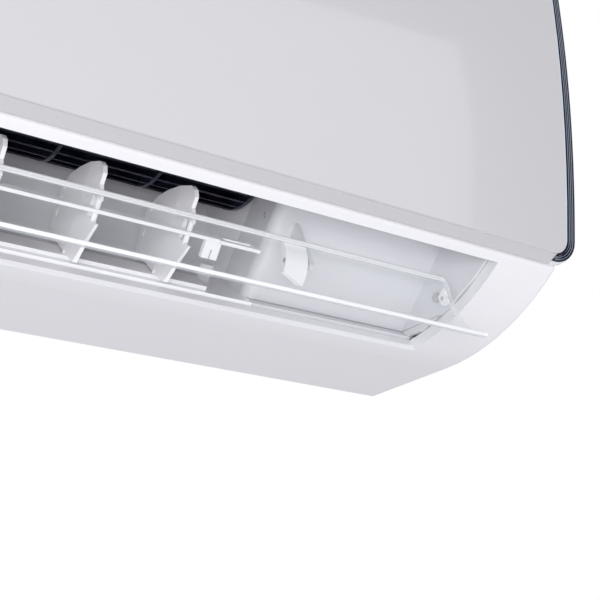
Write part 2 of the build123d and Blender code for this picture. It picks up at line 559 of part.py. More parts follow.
def make_outlet_pocket():
    """Right end of the outlet: side strip, rounded corner, sloping rear wall, roof and end wall."""
    wall = DUCT_WALL
    run = math.dist(POCKET_LOW, POCKET_HIGH)
    rise = ((POCKET_HIGH[0] - POCKET_LOW[0]) / run, (POCKET_HIGH[1] - POCKET_LOW[1]) / run)
    behind = (-rise[1] * wall, rise[0] * wall)

    def behind_slope(point, further):
        """Point on the hidden side of the sloping wall, moved on along the wall."""
        return point[0] + behind[0] + rise[0] * further, point[1] + behind[1] + rise[1] * further

    outer = slab(DUCT_RIGHT_X, POCKET_END_X + wall, SEAM_LOW, POCKET_LOW, POCKET_HIGH, SEAM_HIGH)
    middle = ((POCKET_LOW[0] + POCKET_HIGH[0]) / 2, (POCKET_LOW[1] + POCKET_HIGH[1]) / 2)
    outer = fillet(outer.edges().sort_by_distance(at(DUCT_RIGHT_X, *middle))[0], POCKET_CORNER_RADIUS)
    hollow = slab(
        DUCT_RIGHT_X + wall,
        POCKET_END_X + 2 * wall,
        (SEAM_LOW[0] - 12, SEAM_LOW[1] + 4),
        (SEAM_LOW[0] - 2, SEAM_LOW[1] - 6),
        behind_slope(POCKET_LOW, -5),
        behind_slope(POCKET_HIGH, 5),
        (SEAM_HIGH[0] - 6, SEAM_HIGH[1] + 14),
    )
    corner = at(DUCT_RIGHT_X + wall, *behind_slope(middle, 0))
    hollow = fillet(hollow.edges().sort_by_distance(corner)[0], POCKET_CORNER_RADIUS - wall)
    pocket = outer - hollow
    # side strip up to the tongue, then the roof from the sloping wall to the front lip
    pocket += slab(
        DUCT_RIGHT_X, DUCT_RIGHT_X + wall, SEAM_HIGH, SEAM_TOP, TONGUE_REAR, TONGUE, LIP_TOP,
        (LIP_TOP[0], LIP_TOP[1] - 2), POCKET_HIGH
    )
    pocket += slab(
        DUCT_RIGHT_X,
        POCKET_END_X + wall,
        POCKET_HIGH,
        (LIP_TOP[0], LIP_TOP[1] - 2),
        (LIP_TOP[0], LIP_TOP[1] + 0.8),
        (POCKET_HIGH[0] + 1.2, POCKET_HIGH[1] + 2.2),
        behind_slope(POCKET_HIGH, 0),
        behind_slope(POCKET_HIGH, -ROOF_OVERLAP),
        (POCKET_HIGH[0] - rise[0] * ROOF_OVERLAP, POCKET_HIGH[1] - rise[1] * ROOF_OVERLAP),
    )
    pocket += end_wall(POCKET_END_X, POCKET_END_X + wall)
    # floor tongue that closes the step between the sloping wall and the outlet's rim
    rim_end = flow(FLOOR_FRONT, FLOOR_LEVEL)
    pocket += slab(
        DUCT_RIGHT_X + wall + 0.3,
        POCKET_END_X + wall,
        POCKET_LOW,
        rim_end,
        (rim_end[0] - 1.5, rim_end[1] - 2.0),
        (POCKET_LOW[0] - 3.0, POCKET_LOW[1] - 0.4),
        (POCKET_LOW[0] - 0.8, POCKET_LOW[1] + 1.4),
    )
    # lug that carries the louver's inner pin
    lug_left = LOUVER_BRACKET_RIGHT + LOUVER_LUG_GAP
    lug_right = lug_left + LOUVER_LUG_THICKNESS
    lug_radius = LOUVER_PIN_RADIUS + 1.2
    foot = behind_slope(POCKET_LOW, 50)
    reach = math.dist((LOUVER_PIVOT_DEPTH, LOUVER_PIVOT_HEIGHT), foot)
    aside = (
        (LOUVER_PIVOT_HEIGHT - foot[1]) / reach * lug_radius,
        -(LOUVER_PIVOT_DEPTH - foot[0]) / reach * lug_radius,
    )
    pocket += rod(lug_left, lug_right, LOUVER_PIVOT_DEPTH, LOUVER_PIVOT_HEIGHT, lug_radius)
    pocket += slab(
        lug_left,
        lug_right,
        (LOUVER_PIVOT_DEPTH + aside[0], LOUVER_PIVOT_HEIGHT + aside[1]),
        (LOUVER_PIVOT_DEPTH - aside[0], LOUVER_PIVOT_HEIGHT - aside[1]),
        (foot[0] - aside[0] * 1.6, foot[1] - aside[1] * 1.6),
        (foot[0] + aside[0] * 1.6, foot[1] + aside[1] * 1.6),
    )
    hole = LOUVER_PIN_RADIUS + LOUVER_PIN_CLEARANCE
    pocket -= rod(lug_left - 1, lug_right + 1, LOUVER_PIVOT_DEPTH, LOUVER_PIVOT_HEIGHT, hole)
    pocket -= rod(POCKET_END_X - 1, POCKET_END_X + 4, LOUVER_PIVOT_DEPTH, LOUVER_PIVOT_HEIGHT, hole)
    return pocket


def end_wall(x_low, x_high):
    """Flat wall that closes the outlet at one end, from the floor to the roof."""
    return slab(
        x_low,
        x_high,
        POCKET_LOW,
        flow(FLOOR_FRONT, FLOOR_LEVEL),
        (112, underside(RIM_DEPTH, 112) + 0.3),
        (140, underside(RIM_DEPTH, 140) + 0.3),
        (165, underside(RIM_DEPTH, 165) + 0.3),
        (181.5, underside(RIM_DEPTH, 181.5) + 0.4),
        (182.5, 43.8),
        (LIP_TOP[0], LIP_TOP[1] + 0.8),
        (POCKET_HIGH[0], POCKET_HIGH[1] + 2),
    )


def make_outlet_wall_left():
    """Left end of the outlet: a plain wall with the louver's bush."""
    left = DUCT_LEFT_X - DUCT_WALL
    wall = end_wall(left, DUCT_LEFT_X)
    wall += slab(
        left, DUCT_LEFT_X, SEAM_LOW, POCKET_LOW, POCKET_HIGH, LIP_TOP, TONGUE, TONGUE_REAR, SEAM_TOP,
        SEAM_HIGH
    )
    wall += rod(left - 4, left, LOUVER_PIVOT_DEPTH, LOUVER_PIVOT_HEIGHT, LOUVER_PIN_RADIUS + 1.2)
    hole = LOUVER_PIN_RADIUS + LOUVER_PIN_CLEARANCE
    wall -= rod(left - 5, DUCT_LEFT_X + 1, LOUVER_PIVOT_DEPTH, LOUVER_PIVOT_HEIGHT, hole)
    return wall


PAN_LEFT = DUCT_LEFT_X
PAN_RIGHT = DUCT_RIGHT_X
PAN_FRONT = 186.5
PAN_WALL = 2.5
PAN_FLOOR = 90.0
PAN_TOP = 106.0
SPOUT_RADIUS = 7.0
SPOUT_BORE = 5.0
SPOUT_DEPTH = 166.0
SPOUT_HEIGHT = PAN_FLOOR + PAN_WALL + SPOUT_BORE


def make_drain_pan():
    """Front drain pan. Its sloping underside is the upper wall of the air path."""
    pan = slab(
        PAN_LEFT, PAN_RIGHT, TONGUE, LIP_TOP, (PAN_FRONT, 44), (PAN_FRONT, PAN_TOP),
        (PAN_FRONT - PAN_WALL, PAN_TOP), (PAN_FRONT - PAN_WALL, LIP_TOP[1] + 3.4), (146.5, 96), (146.5, 112),
        (144, 112), (144, 104)
    )
    pan += block(PAN_LEFT, PAN_RIGHT, 146.5, PAN_FRONT - PAN_WALL, PAN_FLOOR, PAN_FLOOR + PAN_WALL)
    for low in (PAN_LEFT, PAN_RIGHT - PAN_WALL):
        pan += block(low, low + PAN_WALL, 145, PAN_FRONT, PAN_FLOOR, PAN_TOP)
    pan -= rod(PAN_RIGHT - PAN_WALL - 1, PAN_RIGHT + 1, SPOUT_DEPTH, SPOUT_HEIGHT, SPOUT_BORE)
    for x in CASING_SCREW_X:
        pan -= post(x, PAN_FRONT - PAN_WALL - 1, PAN_FRONT + 1, CASING_SCREW_HEIGHT, SCREW_RADIUS + 0.05)
    return pan


def make_pan_foam():
    """Foam core under the pan's floor."""
    foam = slab(
        PAN_LEFT + 1, PAN_RIGHT - 1,
        (PAN_FRONT - PAN_WALL - 0.3, LIP_TOP[1] + 5.2), (PAN_FRONT - PAN_WALL - 0.3, PAN_FLOOR - 0.3),
        (152.5, PAN_FLOOR - 0.3)
    )
    for x in CASING_SCREW_X:
        foam -= post(x, PAN_FRONT - 16, PAN_FRONT + 1, CASING_SCREW_HEIGHT, SCREW_RADIUS + 1)
    return foam


def make_drain_spout():
    """Spout at the pan's right end, where a drain hose would push on."""
    spout = rod(PAN_RIGHT, PAN_RIGHT + 34, SPOUT_DEPTH, SPOUT_HEIGHT, SPOUT_RADIUS)
    return spout - rod(PAN_RIGHT - 1, PAN_RIGHT + 40, SPOUT_DEPTH, SPOUT_HEIGHT, SPOUT_BORE)


PACK_FOOT = PAN_FLOOR + PAN_WALL
FIN_PACKS = {
    "evaporator_rear": [(22, 172), (78, 262), (100.1, 248.3), (44.1, 158.3)],
    "evaporator_front_upper": [(118, 262), (176, 204), (157.6, 185.6), (99.6, 243.6)],
    "evaporator_front_lower": [(155, 183), (172, 200), (181, 200), (181, PACK_FOOT), (155, PACK_FOOT)],
}


def make_fin_pack(points):
    """Pack of thin aluminium fins, modelled as one block."""
    return slab(FIN_PACK_LEFT, FIN_PACK_RIGHT, *points)


BEND_ROWS = {
    "evaporator_rear": ((33.0, 165.2), (89.0, 255.2), 4),
    "evaporator_front_upper": ((166.8, 194.8), (108.8, 252.8), 3),
    "evaporator_front_lower": ((168.0, PAN_FLOOR + 4), (168.0, 190.0), 3),
}


def make_return_bends():
    """Copper U-bends that join the tubes at both ends of the fin packs."""
    bends = []
    for start, end, rows in BEND_ROWS.values():
        length = math.dist(start, end)
        step = ((end[0] - start[0]) / length, (end[1] - start[1]) / length)
        for index in range(rows):
            middle = length * (index + 0.5) / rows
            low, high = middle - BEND_RADIUS, middle + BEND_RADIUS
            for x, out in ((FIN_PACK_LEFT, -1), (FIN_PACK_RIGHT, 1)):
                first = at(x, start[0] + step[0] * low, start[1] + step[1] * low)
                last = at(x, start[0] + step[0] * high, start[1] + step[1] * high)
                tip = (first + last) * 0.5 + Vector(out * BEND_RADIUS, 0, 0)
                ring = Plane(origin=first, z_dir=(out, 0, 0)) * Circle(BEND_TUBE_RADIUS)
                bends.append(sweep(ring, path=ThreePointArc(first, tip, last)))
    return Compound(children=bends)


PIPES = {
    "gas_pipe": (GAS_PIPE_RADIUS, 27.0, 40.0, FIN_PACK_RIGHT + 40.0, 41.0, 196.0),
    "liquid_pipe": (LIQUID_PIPE_RADIUS, 27.0, 22.0, FIN_PACK_RIGHT + 56.0, 58.0, 222.0),
}
PIPE_BEND_RADIUS = 14.0
NUT_LENGTH = 20.0
NUT_GRIP = 3.6


def make_pipe(radius, depth, height, turn_x, pack_depth, pack_height):
    """Copper pipe from the rear fin pack, down and back along the channel behind the scroll."""
    points = [
        at(FIN_PACK_RIGHT, pack_depth, pack_height),
        at(turn_x, pack_depth, pack_height),
        at(turn_x, depth, pack_height - 34),
        at(turn_x, depth, height),
        at(PIPE_END_X, depth, height),
    ]
    path = FilletPolyline(*points, radius=PIPE_BEND_RADIUS)
    return sweep(Plane(origin=points[0], z_dir=(1, 0, 0)) * Circle(radius), path=path)


def make_flare_nuts():
    """Two brass nuts on the pipes' free ends."""
    nuts = []
    for radius, depth, height, *_ in PIPES.values():
        plane = Plane(origin=at(PIPE_END_X + 2, depth, height), x_dir=(0, 1, 0), z_dir=(1, 0, 0))
        nut = extrude(plane * RegularPolygon(radius + NUT_GRIP, 6), amount=NUT_LENGTH)
        nuts.append(nut - rod(PIPE_END_X, PIPE_END_X + 2 * NUT_LENGTH, depth, height, radius + 0.05))
    return Compound(children=nuts)


def make_insulation():
    """Foam sleeve round both pipes in the channel."""
    low, high = PIPE_END_X + 2 * NUT_LENGTH, FIN_PACK_RIGHT + 4
    sleeves = [rod(low, high, depth, height, INSULATION_RADIUS) for _, depth, height, *_ in PIPES.values()]
    sleeve = sleeves[0] + sleeves[1]
    for radius, depth, height, *_ in PIPES.values():
        sleeve -= rod(low - 1, high + 1, depth, height, radius + 0.1)
    return sleeve


def fan_blade(x_low, x_high, index):
    """One forward-curved blade: an arc strip between the fan's inner and outer radius."""
    turn = 360.0 * index / FAN_BLADE_COUNT
    inner, outer = FAN_INNER_RADIUS, FAN_RADIUS - 0.2
    skew = 15.0

    def place(radius, angle):
        """Depth and height at a radius and angle about the fan's axis."""
        heading = math.radians(turn + angle)
        return FAN_DEPTH + radius * math.cos(heading), FAN_HEIGHT + radius * math.sin(heading)

    middle = (inner + outer) / 2
    thick = math.degrees(FAN_BLADE_THICKNESS / middle)
    hollow_side = [place(inner, 0), place(middle, 0.28 * skew), place(outer, skew)]
    full_side = [place(inner, thick), place(middle, 0.28 * skew + thick), place(outer, skew + thick)]
    return prism(
        x_low,
        x_high,
        (ARC, hollow_side),
        (LINE, [hollow_side[-1], full_side[-1]]),
        (ARC, full_side[::-1]),
        (LINE, [full_side[0], hollow_side[0]]),
    )


def make_fan():
    """Cross-flow rotor: rings and blades in equal segments, an end disc at each end."""
    low, high = DUCT_LEFT_X + FAN_END_GAP, DUCT_RIGHT_X - FAN_END_GAP
    pitch = (high - low - FAN_RING_THICKNESS) / FAN_SEGMENTS
    discs = []
    for index in range(FAN_SEGMENTS + 1):
        left = low + index * pitch
        disc = rod(left, left + FAN_RING_THICKNESS, FAN_DEPTH, FAN_HEIGHT, FAN_RADIUS)
        is_end = index in (0, FAN_SEGMENTS)
        bore = SPINDLE_RADIUS + 0.02 if is_end else FAN_INNER_RADIUS - 2
        discs.append(disc - rod(left - 1, left + FAN_RING_THICKNESS + 1, FAN_DEPTH, FAN_HEIGHT, bore))
    blades = [fan_blade(low + 0.4, high - 0.4, index) for index in range(FAN_BLADE_COUNT)]
    rotor = discs[0].fuse(*discs[1:], *blades)
    for left, length in ((low, 16.0), (high - 16.0, 16.0)):
        hub = rod(left, left + length, FAN_DEPTH, FAN_HEIGHT, SPINDLE_RADIUS * 2.4)
        rotor += hub - rod(left - 1, left + length + 1, FAN_DEPTH, FAN_HEIGHT, SPINDLE_RADIUS + 0.02)
    return rotor


def make_fan_spindle():
    """Steel stub in the fan's left hub, running in the bearing."""
    left = DUCT_LEFT_X - DUCT_WALL - 19
    return rod(left, DUCT_LEFT_X + FAN_END_GAP + 16, FAN_DEPTH, FAN_HEIGHT, SPINDLE_RADIUS)


def make_fan_bearing():
    """Plain round bearing for the spindle."""
    right = DUCT_LEFT_X - DUCT_WALL - 4
    bearing = rod(right - 12, right, FAN_DEPTH, FAN_HEIGHT, BEARING_RADIUS)
    return bearing - rod(right - 13, right + 1, FAN_DEPTH, FAN_HEIGHT, SPINDLE_RADIUS + SHAFT_CLEARANCE)


def make_bearing_cushion():
    """Rubber ring between the bearing and its seat."""
    right = DUCT_LEFT_X - DUCT_WALL - 3
    ring = rod(right - 15, right, FAN_DEPTH, FAN_HEIGHT, CUSHION_RADIUS - 0.1)
    return ring - rod(right - 16, right + 1, FAN_DEPTH, FAN_HEIGHT, BEARING_RADIUS + 0.1)


def make_fan_motor():
    """Round resin-packed motor with a stepped front boss."""
    motor = rod(MOTOR_LEFT_X, MOTOR_RIGHT_X, FAN_DEPTH, FAN_HEIGHT, MOTOR_RADIUS - 0.1)
    motor = fillet(motor.edges().filter_by(GeomType.CIRCLE), 4)
    motor += rod(MOTOR_RIGHT_X - 1, MOTOR_RIGHT_X + 6, FAN_DEPTH, FAN_HEIGHT, 13)
    bore = SPINDLE_RADIUS + SHAFT_CLEARANCE
    return motor - rod(MOTOR_LEFT_X - 12, MOTOR_RIGHT_X - 8, FAN_DEPTH, FAN_HEIGHT, bore)


def make_motor_shaft():
    """Motor shaft, gripped in the fan's right hub."""
    left = DUCT_RIGHT_X - FAN_END_GAP - 16
    return rod(left, MOTOR_RIGHT_X - 9, FAN_DEPTH, FAN_HEIGHT, SPINDLE_RADIUS)


def make_motor_clamp():
    """Saddle strap that holds the motor down on its cradle."""
    low, high = MOTOR_LEFT_X + 20, MOTOR_LEFT_X + 42
    strap = rod(low, high, FAN_DEPTH, FAN_HEIGHT, MOTOR_RADIUS + 2.5)
    strap -= rod(low - 1, high + 1, FAN_DEPTH, FAN_HEIGHT, MOTOR_RADIUS + 0.1)
    rear, front = FAN_DEPTH - MOTOR_RADIUS - 10, FAN_DEPTH + MOTOR_RADIUS + 10
    strap &= block(low - 1, high + 1, rear, front, FAN_HEIGHT - 6, FAN_HEIGHT + MOTOR_RADIUS + 10)
    return strap


ELECTRIC_RIGHT = HALF_BODY - BACK_INSET - DUCT_WALL
ELECTRIC_LEFT = ELECTRIC_RIGHT - 64.5
ELECTRIC_REAR = 24.0
ELECTRIC_FRONT = 172.0
ELECTRIC_LOW = 118.0
ELECTRIC_HIGH = 268.0
ELECTRIC_WALL = 2.0
BOARD_THICKNESS = 1.6
TERMINAL_PITCH = 10.5


def make_electric_box():
    """Flame-proof box for the controls, open to the front."""
    box = block(ELECTRIC_LEFT, ELECTRIC_RIGHT, ELECTRIC_REAR, ELECTRIC_FRONT, ELECTRIC_LOW, ELECTRIC_HIGH)
    wall = ELECTRIC_WALL
    box -= block(
        ELECTRIC_LEFT + wall, ELECTRIC_RIGHT - wall, ELECTRIC_REAR + wall, ELECTRIC_FRONT + 1,
        ELECTRIC_LOW + wall, ELECTRIC_HIGH - wall
    )
    box += block(ELECTRIC_LEFT, ELECTRIC_RIGHT, BACK_FRONT, ELECTRIC_REAR, ELECTRIC_LOW, ELECTRIC_LOW + 6)
    return box


def make_electric_cover():
    """Cover that closes the front of the electric box."""
    rear, front = ELECTRIC_FRONT, ELECTRIC_FRONT + ELECTRIC_WALL
    cover = block(ELECTRIC_LEFT, ELECTRIC_RIGHT, rear, front, ELECTRIC_LOW, ELECTRIC_HIGH)
    for index in range(6):
        height = ELECTRIC_LOW + 40 + index * 14
        cover -= block(ELECTRIC_LEFT + 14, ELECTRIC_RIGHT - 14, rear - 1, front + 1, height, height + 4)
    return cover


def make_circuit_board():
    """Main board standing on edge with its tallest components."""
    board_x = ELECTRIC_LEFT + 8
    face_x = board_x + BOARD_THICKNESS
    rear, front = ELECTRIC_REAR + 10, ELECTRIC_FRONT - 10
    board = block(board_x, face_x, rear, front, ELECTRIC_LOW + 20, ELECTRIC_HIGH - 6)
    blocks = ((60, 160, 26, 24), (96, 150, 18, 30), (60, 220, 30, 16), (120, 214, 22, 20))
    for depth, height, size, tall in blocks:
        half = size / 2
        board += block(face_x, face_x + tall, depth - half, depth + half, height - half, height + half)
    for depth in (90, 106, 138):
        board += rod(face_x, board_x + 26, depth, ELECTRIC_LOW + 70, 6)
    # feet to the box's left wall
    for depth in (40, 156):
        board += rod(ELECTRIC_LEFT + ELECTRIC_WALL, board_x, depth, ELECTRIC_LOW + 32, 3)
        board += rod(ELECTRIC_LEFT + ELECTRIC_WALL, board_x, depth, ELECTRIC_HIGH - 18, 3)
    return board


def make_terminal_block():
    """Screw terminals low in the electric box."""
    floor = ELECTRIC_LOW + ELECTRIC_WALL
    left = ELECTRIC_LEFT + 14
    rear, front = ELECTRIC_FRONT - 40, ELECTRIC_FRONT - 12
    terminal = block(left, left + 44, rear, front, floor, floor + 8)
    for index in range(5):
        rib = left + index * TERMINAL_PITCH
        terminal += block(rib, rib + 2, rear, front, floor + 8, floor + 15)
    return terminal


def make_receiver_board():
    """Small board behind the front frame, with the remote-control receiver and the button's switch."""
    rear, switch_front = BOARD_DEPTH - BOARD_THICKNESS, BOARD_DEPTH + SWITCH_HEIGHT
    board = block(BOARD_LEFT, BOARD_RIGHT, rear, BOARD_DEPTH, BOARD_LOW, BOARD_HIGH)
    left, low = BUTTON_X - 3, BUTTON_HEIGHT - 3
    board += block(left, left + 6, BOARD_DEPTH, switch_front, low, low + 6)
    board += post(BUTTON_X + 28, BOARD_DEPTH, BOARD_DEPTH + 5, BUTTON_HEIGHT, 3)
    for index in range(3):
        board += post(BUTTON_X + 38 + index * 7, BOARD_DEPTH, BOARD_DEPTH + 4, BUTTON_HEIGHT, 1.5)
    return board


def make_service_button():
    """Push button of the manual switch, held by a flange behind the front frame."""
    wall_inner = FRAME_DEPTH - CASING_WALL
    switch_top = BOARD_DEPTH + SWITCH_HEIGHT
    button = post(BUTTON_X, wall_inner - 2, FRAME_DEPTH + 0.4, BUTTON_HEIGHT, BUTTON_RADIUS)
    button += post(BUTTON_X, wall_inner - 2, wall_inner, BUTTON_HEIGHT, BUTTON_RADIUS + 2)
    button += post(BUTTON_X, switch_top + BUTTON_TRAVEL + 0.2, wall_inner - 1.9, BUTTON_HEIGHT, 2)
    return button


def make_casing_screws():
    """Screws that hold the casing to the drain pan."""
    screws = []
    for x in CASING_SCREW_X:
        shank = post(x, FRAME_DEPTH - 12, FRAME_DEPTH, CASING_SCREW_HEIGHT, SCREW_RADIUS)
        head = post(x, FRAME_DEPTH, FRAME_DEPTH + 1.6, CASING_SCREW_HEIGHT, SCREW_HEAD_RADIUS)
        screws.append(shank + head)
    return Compound(children=screws)


def make_screw_caps():
    """Press-in caps over the screw heads."""
    caps = []
    for x in CASING_SCREW_X:
        cap = post(x, FRAME_DEPTH, FRAME_DEPTH + 2.6, CASING_SCREW_HEIGHT, SCREW_HEAD_RADIUS + 2)
        room = post(x, FRAME_DEPTH - 1, FRAME_DEPTH + 1.7, CASING_SCREW_HEIGHT, SCREW_HEAD_RADIUS + 0.1)
        caps.append(cap - room)
    return Compound(children=caps)


def make_knockouts():
    """Break-out plates in the pipe openings of both ends."""
    plates = []
    gap = 0.2
    for side in (-1, 1):
        inner, outer = side * (HALF_BODY - CASING_WALL), side * HALF_BODY
        plate = block(
            min(inner, outer), max(inner, outer), KNOCKOUT_REAR + gap, KNOCKOUT_FRONT - gap,
            KNOCKOUT_LOW + gap, KNOCKOUT_HIGH - gap
        )
        rear_side = side * (HALF_BODY - CASING_WALL - 2)
        plate += block(
            min(inner, rear_side), max(inner, rear_side), KNOCKOUT_REAR - 3, KNOCKOUT_FRONT + 3,
            KNOCKOUT_LOW - 3, KNOCKOUT_HIGH + 3
        )
        plates.append(plate)
    return Compound(children=plates)


def filter_band(x_low, x_high, thickness):
    """Curved sheet in front of and over the heat exchanger, with a given thickness."""
    outer = PAN_FRONT - 0.5
    inner = outer - thickness
    low, knee = PAN_TOP, CASING_HEIGHT - 88
    bend = (outer - 14, CASING_HEIGHT - 48)
    shoulder = (outer - 52, CASING_HEIGHT - 20)
    end = (outer - 116, CASING_HEIGHT - 7)
    inner_bend = (bend[0] - 0.8 * thickness, bend[1] - 0.7 * thickness)
    inner_shoulder = (shoulder[0] - 0.4 * thickness, shoulder[1] - thickness)
    inner_end = (end[0] - 0.3 * thickness, end[1] - thickness)
    return prism(
        x_low,
        x_high,
        (LINE, [(inner, low), (outer, low), (outer, knee)]),
        (ARC, [(outer, knee), bend, shoulder]),
        (LINE, [shoulder, end, inner_end]),
        (LINE, [inner_end, inner_shoulder]),
        (ARC, [inner_shoulder, inner_bend, (inner, knee)]),
        (LINE, [(inner, knee), (inner, low)]),
    )


def make_air_filter(x_low, x_high):
    """Washable filter: a thin net in a frame with upright ribs."""
    sheet = filter_band(x_low, x_high, 0.8)
    ribs = 6
    for index in range(ribs + 1):
        left = x_low + (x_high - x_low - 4) * index / ribs
        sheet += filter_band(left, left + 4, 2.4)
    sheet += block(x_low, x_high, PAN_FRONT - 2.9, PAN_FRONT - 0.5, PAN_TOP, PAN_TOP + 8)
    return sheet


def panel_curve(radius_step):
    """Round solid whose front is the panel's gentle curve, moved inwards by a step."""
    centre = at(0, PANEL_FRONT_DEPTH - PANEL_CURVE_RADIUS, PANEL_CURVE_HEIGHT)
    return Pos(centre) * Rot(0, 90, 0) * Cylinder(PANEL_CURVE_RADIUS - radius_step, 2 * HALF_PANEL + 20)


def panel_outline(share):
    """Half length, foot, top and corner radius from the plate's edge (0) to the strips' outer edge (1)."""
    inner = (HALF_BODY, PANEL_PLATE_LOW, PANEL_PLATE_TOP, PANEL_PLATE_RADIUS)
    outer = (HALF_PANEL, PANEL_TRIM_LOW, PANEL_TOP, PANEL_OUTER_RADIUS)
    return [near + (far - near) * share for near, far in zip(inner, outer)]


def panel_layer(outline_sizes, front_step, rear_step, rear_depth=FRAME_DEPTH - 40):
    """Layer of the panel between two steps behind its face, with a rounded outline."""
    reach, low, high, radius = outline_sizes
    sketch = Plane(origin=at(0, rear_depth, (low + high) / 2), x_dir=(1, 0, 0), z_dir=(0, -1, 0))
    amount = PANEL_FRONT_DEPTH + 20 - rear_depth
    sheet = extrude(sketch * RectangleRounded(2 * reach, high - low, radius), amount=amount)
    sheet &= panel_curve(front_step)
    return sheet - panel_curve(rear_step) if rear_step else sheet


def hinge_notches():
    """Room in the panel for the casing's two hinge ears."""
    half = PANEL_EAR_WIDTH / 2 + PANEL_LUG_GAP
    rear, front, low = FRAME_DEPTH - 4, PANEL_FRONT_DEPTH - 10, PANEL_PIN_HEIGHT - 11
    middles = (-PANEL_EAR_X, PANEL_EAR_X)
    return [block(x - half, x + half, rear, front, low, CASING_HEIGHT) for x in middles]


def make_front_panel():
    """Gloss white curved plate with rounded edges and a turned-under lower edge."""
    plate = panel_layer(panel_outline(0), 0, PANEL_PLATE_THICKNESS)
    plate = fillet(plate.faces().sort_by(Axis.Y)[0].edges(), PANEL_EDGE_ROUND)
    plate += slab(
        -HALF_FOOT,
        HALF_FOOT,
        (PANEL_REAR, PANEL_FRAME_LOW - 0.1),
        (PANEL_REAR, PANEL_FRAME_LOW + 2.4),
        (PANEL_FRONT_DEPTH - 9.4, PANEL_PLATE_LOW + 5),
        (PANEL_FRONT_DEPTH - 9.0, PANEL_PLATE_LOW + 0.4),
    )
    return plate


def make_edge_trim(side):
    """Dark strip along one end of the plate, sloping back in steps with a rib on the edge of each step."""
    back = PANEL_PLATE_THICKNESS + TRIM_THICKNESS
    strip = panel_layer(panel_outline(1), TRIM_SLOPE_END, back)
    for index in range(TRIM_RIB_COUNT):
        share = (index + 1) / (TRIM_RIB_COUNT + 1)
        top = TRIM_SLOPE_START + (TRIM_SLOPE_END - TRIM_SLOPE_START) * index / TRIM_RIB_COUNT
        floor = top + TRIM_GROOVE_DEPTH
        strip += panel_layer(panel_outline(share), floor, back)
        rib = panel_layer(panel_outline(share), top, floor)
        strip += rib - panel_layer(panel_outline(share - TRIM_RIB_WIDTH / TRIM_WIDTH), 0, 0)
    reach, low, high, radius = panel_outline(0)
    strip -= panel_layer([reach, low, high, radius], 0, PANEL_PLATE_THICKNESS)
    strip -= panel_layer([reach - TRIM_UNDERLAP, low + TRIM_UNDERLAP, high - TRIM_UNDERLAP, radius / 2], 0, 0)
    left, right = sorted((side * (HALF_FOOT + PANEL_FOOT_GAP), side * (HALF_PANEL + 1)))
    return strip & block(left, right, FRAME_DEPTH, PANEL_FRONT_DEPTH + 10, 0, CASING_HEIGHT)


def make_panel_frame():
    """White frame behind the panel, with the hinge lugs at its top."""
    step = PANEL_PLATE_THICKNESS + TRIM_THICKNESS
    reach, low, high = HALF_PANEL - PANEL_FRAME_INSET, PANEL_FRAME_LOW, PANEL_TOP - PANEL_FRAME_INSET
    radius = PANEL_OUTER_RADIUS - PANEL_FRAME_INSET
    width = PANEL_FRAME_WIDTH
    frame = panel_layer([reach, low, high, radius], step, 0, PANEL_REAR)
    frame -= panel_layer([reach - width, low + width + 8, high - width, 4.0], 0, 0)
    # the turned-under edge of the plate takes the place of the lower middle of the frame
    half = HALF_FOOT + PANEL_FOOT_GAP
    frame -= block(-half, half, FRAME_DEPTH - 40, PANEL_FRONT_DEPTH + 10, 0, low + width - 2)
    # ribs that join the frame to the plate and stiffen it
    rib_rear, rib_front = FRAME_DEPTH + 6, PANEL_FRONT_DEPTH + 20
    for height in (low + width + 8, high - width):
        rib = block(-HALF_FOOT, HALF_FOOT, rib_rear, rib_front, height, height + PANEL_RIB_THICKNESS)
        frame += rib & panel_curve(PANEL_PLATE_THICKNESS)
    lug_rear, lug_front = PANEL_PIN_DEPTH - 1, PANEL_FRONT_DEPTH - 9.5
    lug_low, lug_high = PANEL_PIN_HEIGHT - 8, PANEL_PIN_HEIGHT - 0.5
    for middle in (-PANEL_EAR_X, PANEL_EAR_X):
        for offset in (-1, 1):
            near = middle + offset * (PANEL_EAR_WIDTH / 2 + PANEL_LUG_GAP)
            left, right = sorted((near, near + offset * PANEL_LUG_WIDTH))
            frame += rod(left, right, PANEL_PIN_DEPTH, PANEL_PIN_HEIGHT, PANEL_EAR_RADIUS - 0.3)
            frame += block(left, right, lug_rear, lug_front, lug_low, lug_high)
    frame -= hinge_notches()
    for side in (-1, 1):
        left = side * PANEL_EAR_X - 12
        frame -= rod(left, left + 24, PANEL_PIN_DEPTH, PANEL_PIN_HEIGHT, PANEL_PIN_RADIUS + 0.02)
    return frame


def make_hinge_pins():
    """Two steel pins through the panel's lugs and the casing's ears."""
    pins = []
    half = PANEL_EAR_WIDTH / 2 + PANEL_LUG_GAP + PANEL_LUG_WIDTH
    for side in (-1, 1):
        middle = side * PANEL_EAR_X
        pins.append(rod(middle - half, middle + half, PANEL_PIN_DEPTH, PANEL_PIN_HEIGHT, PANEL_PIN_RADIUS))
    return Compound(children=pins)


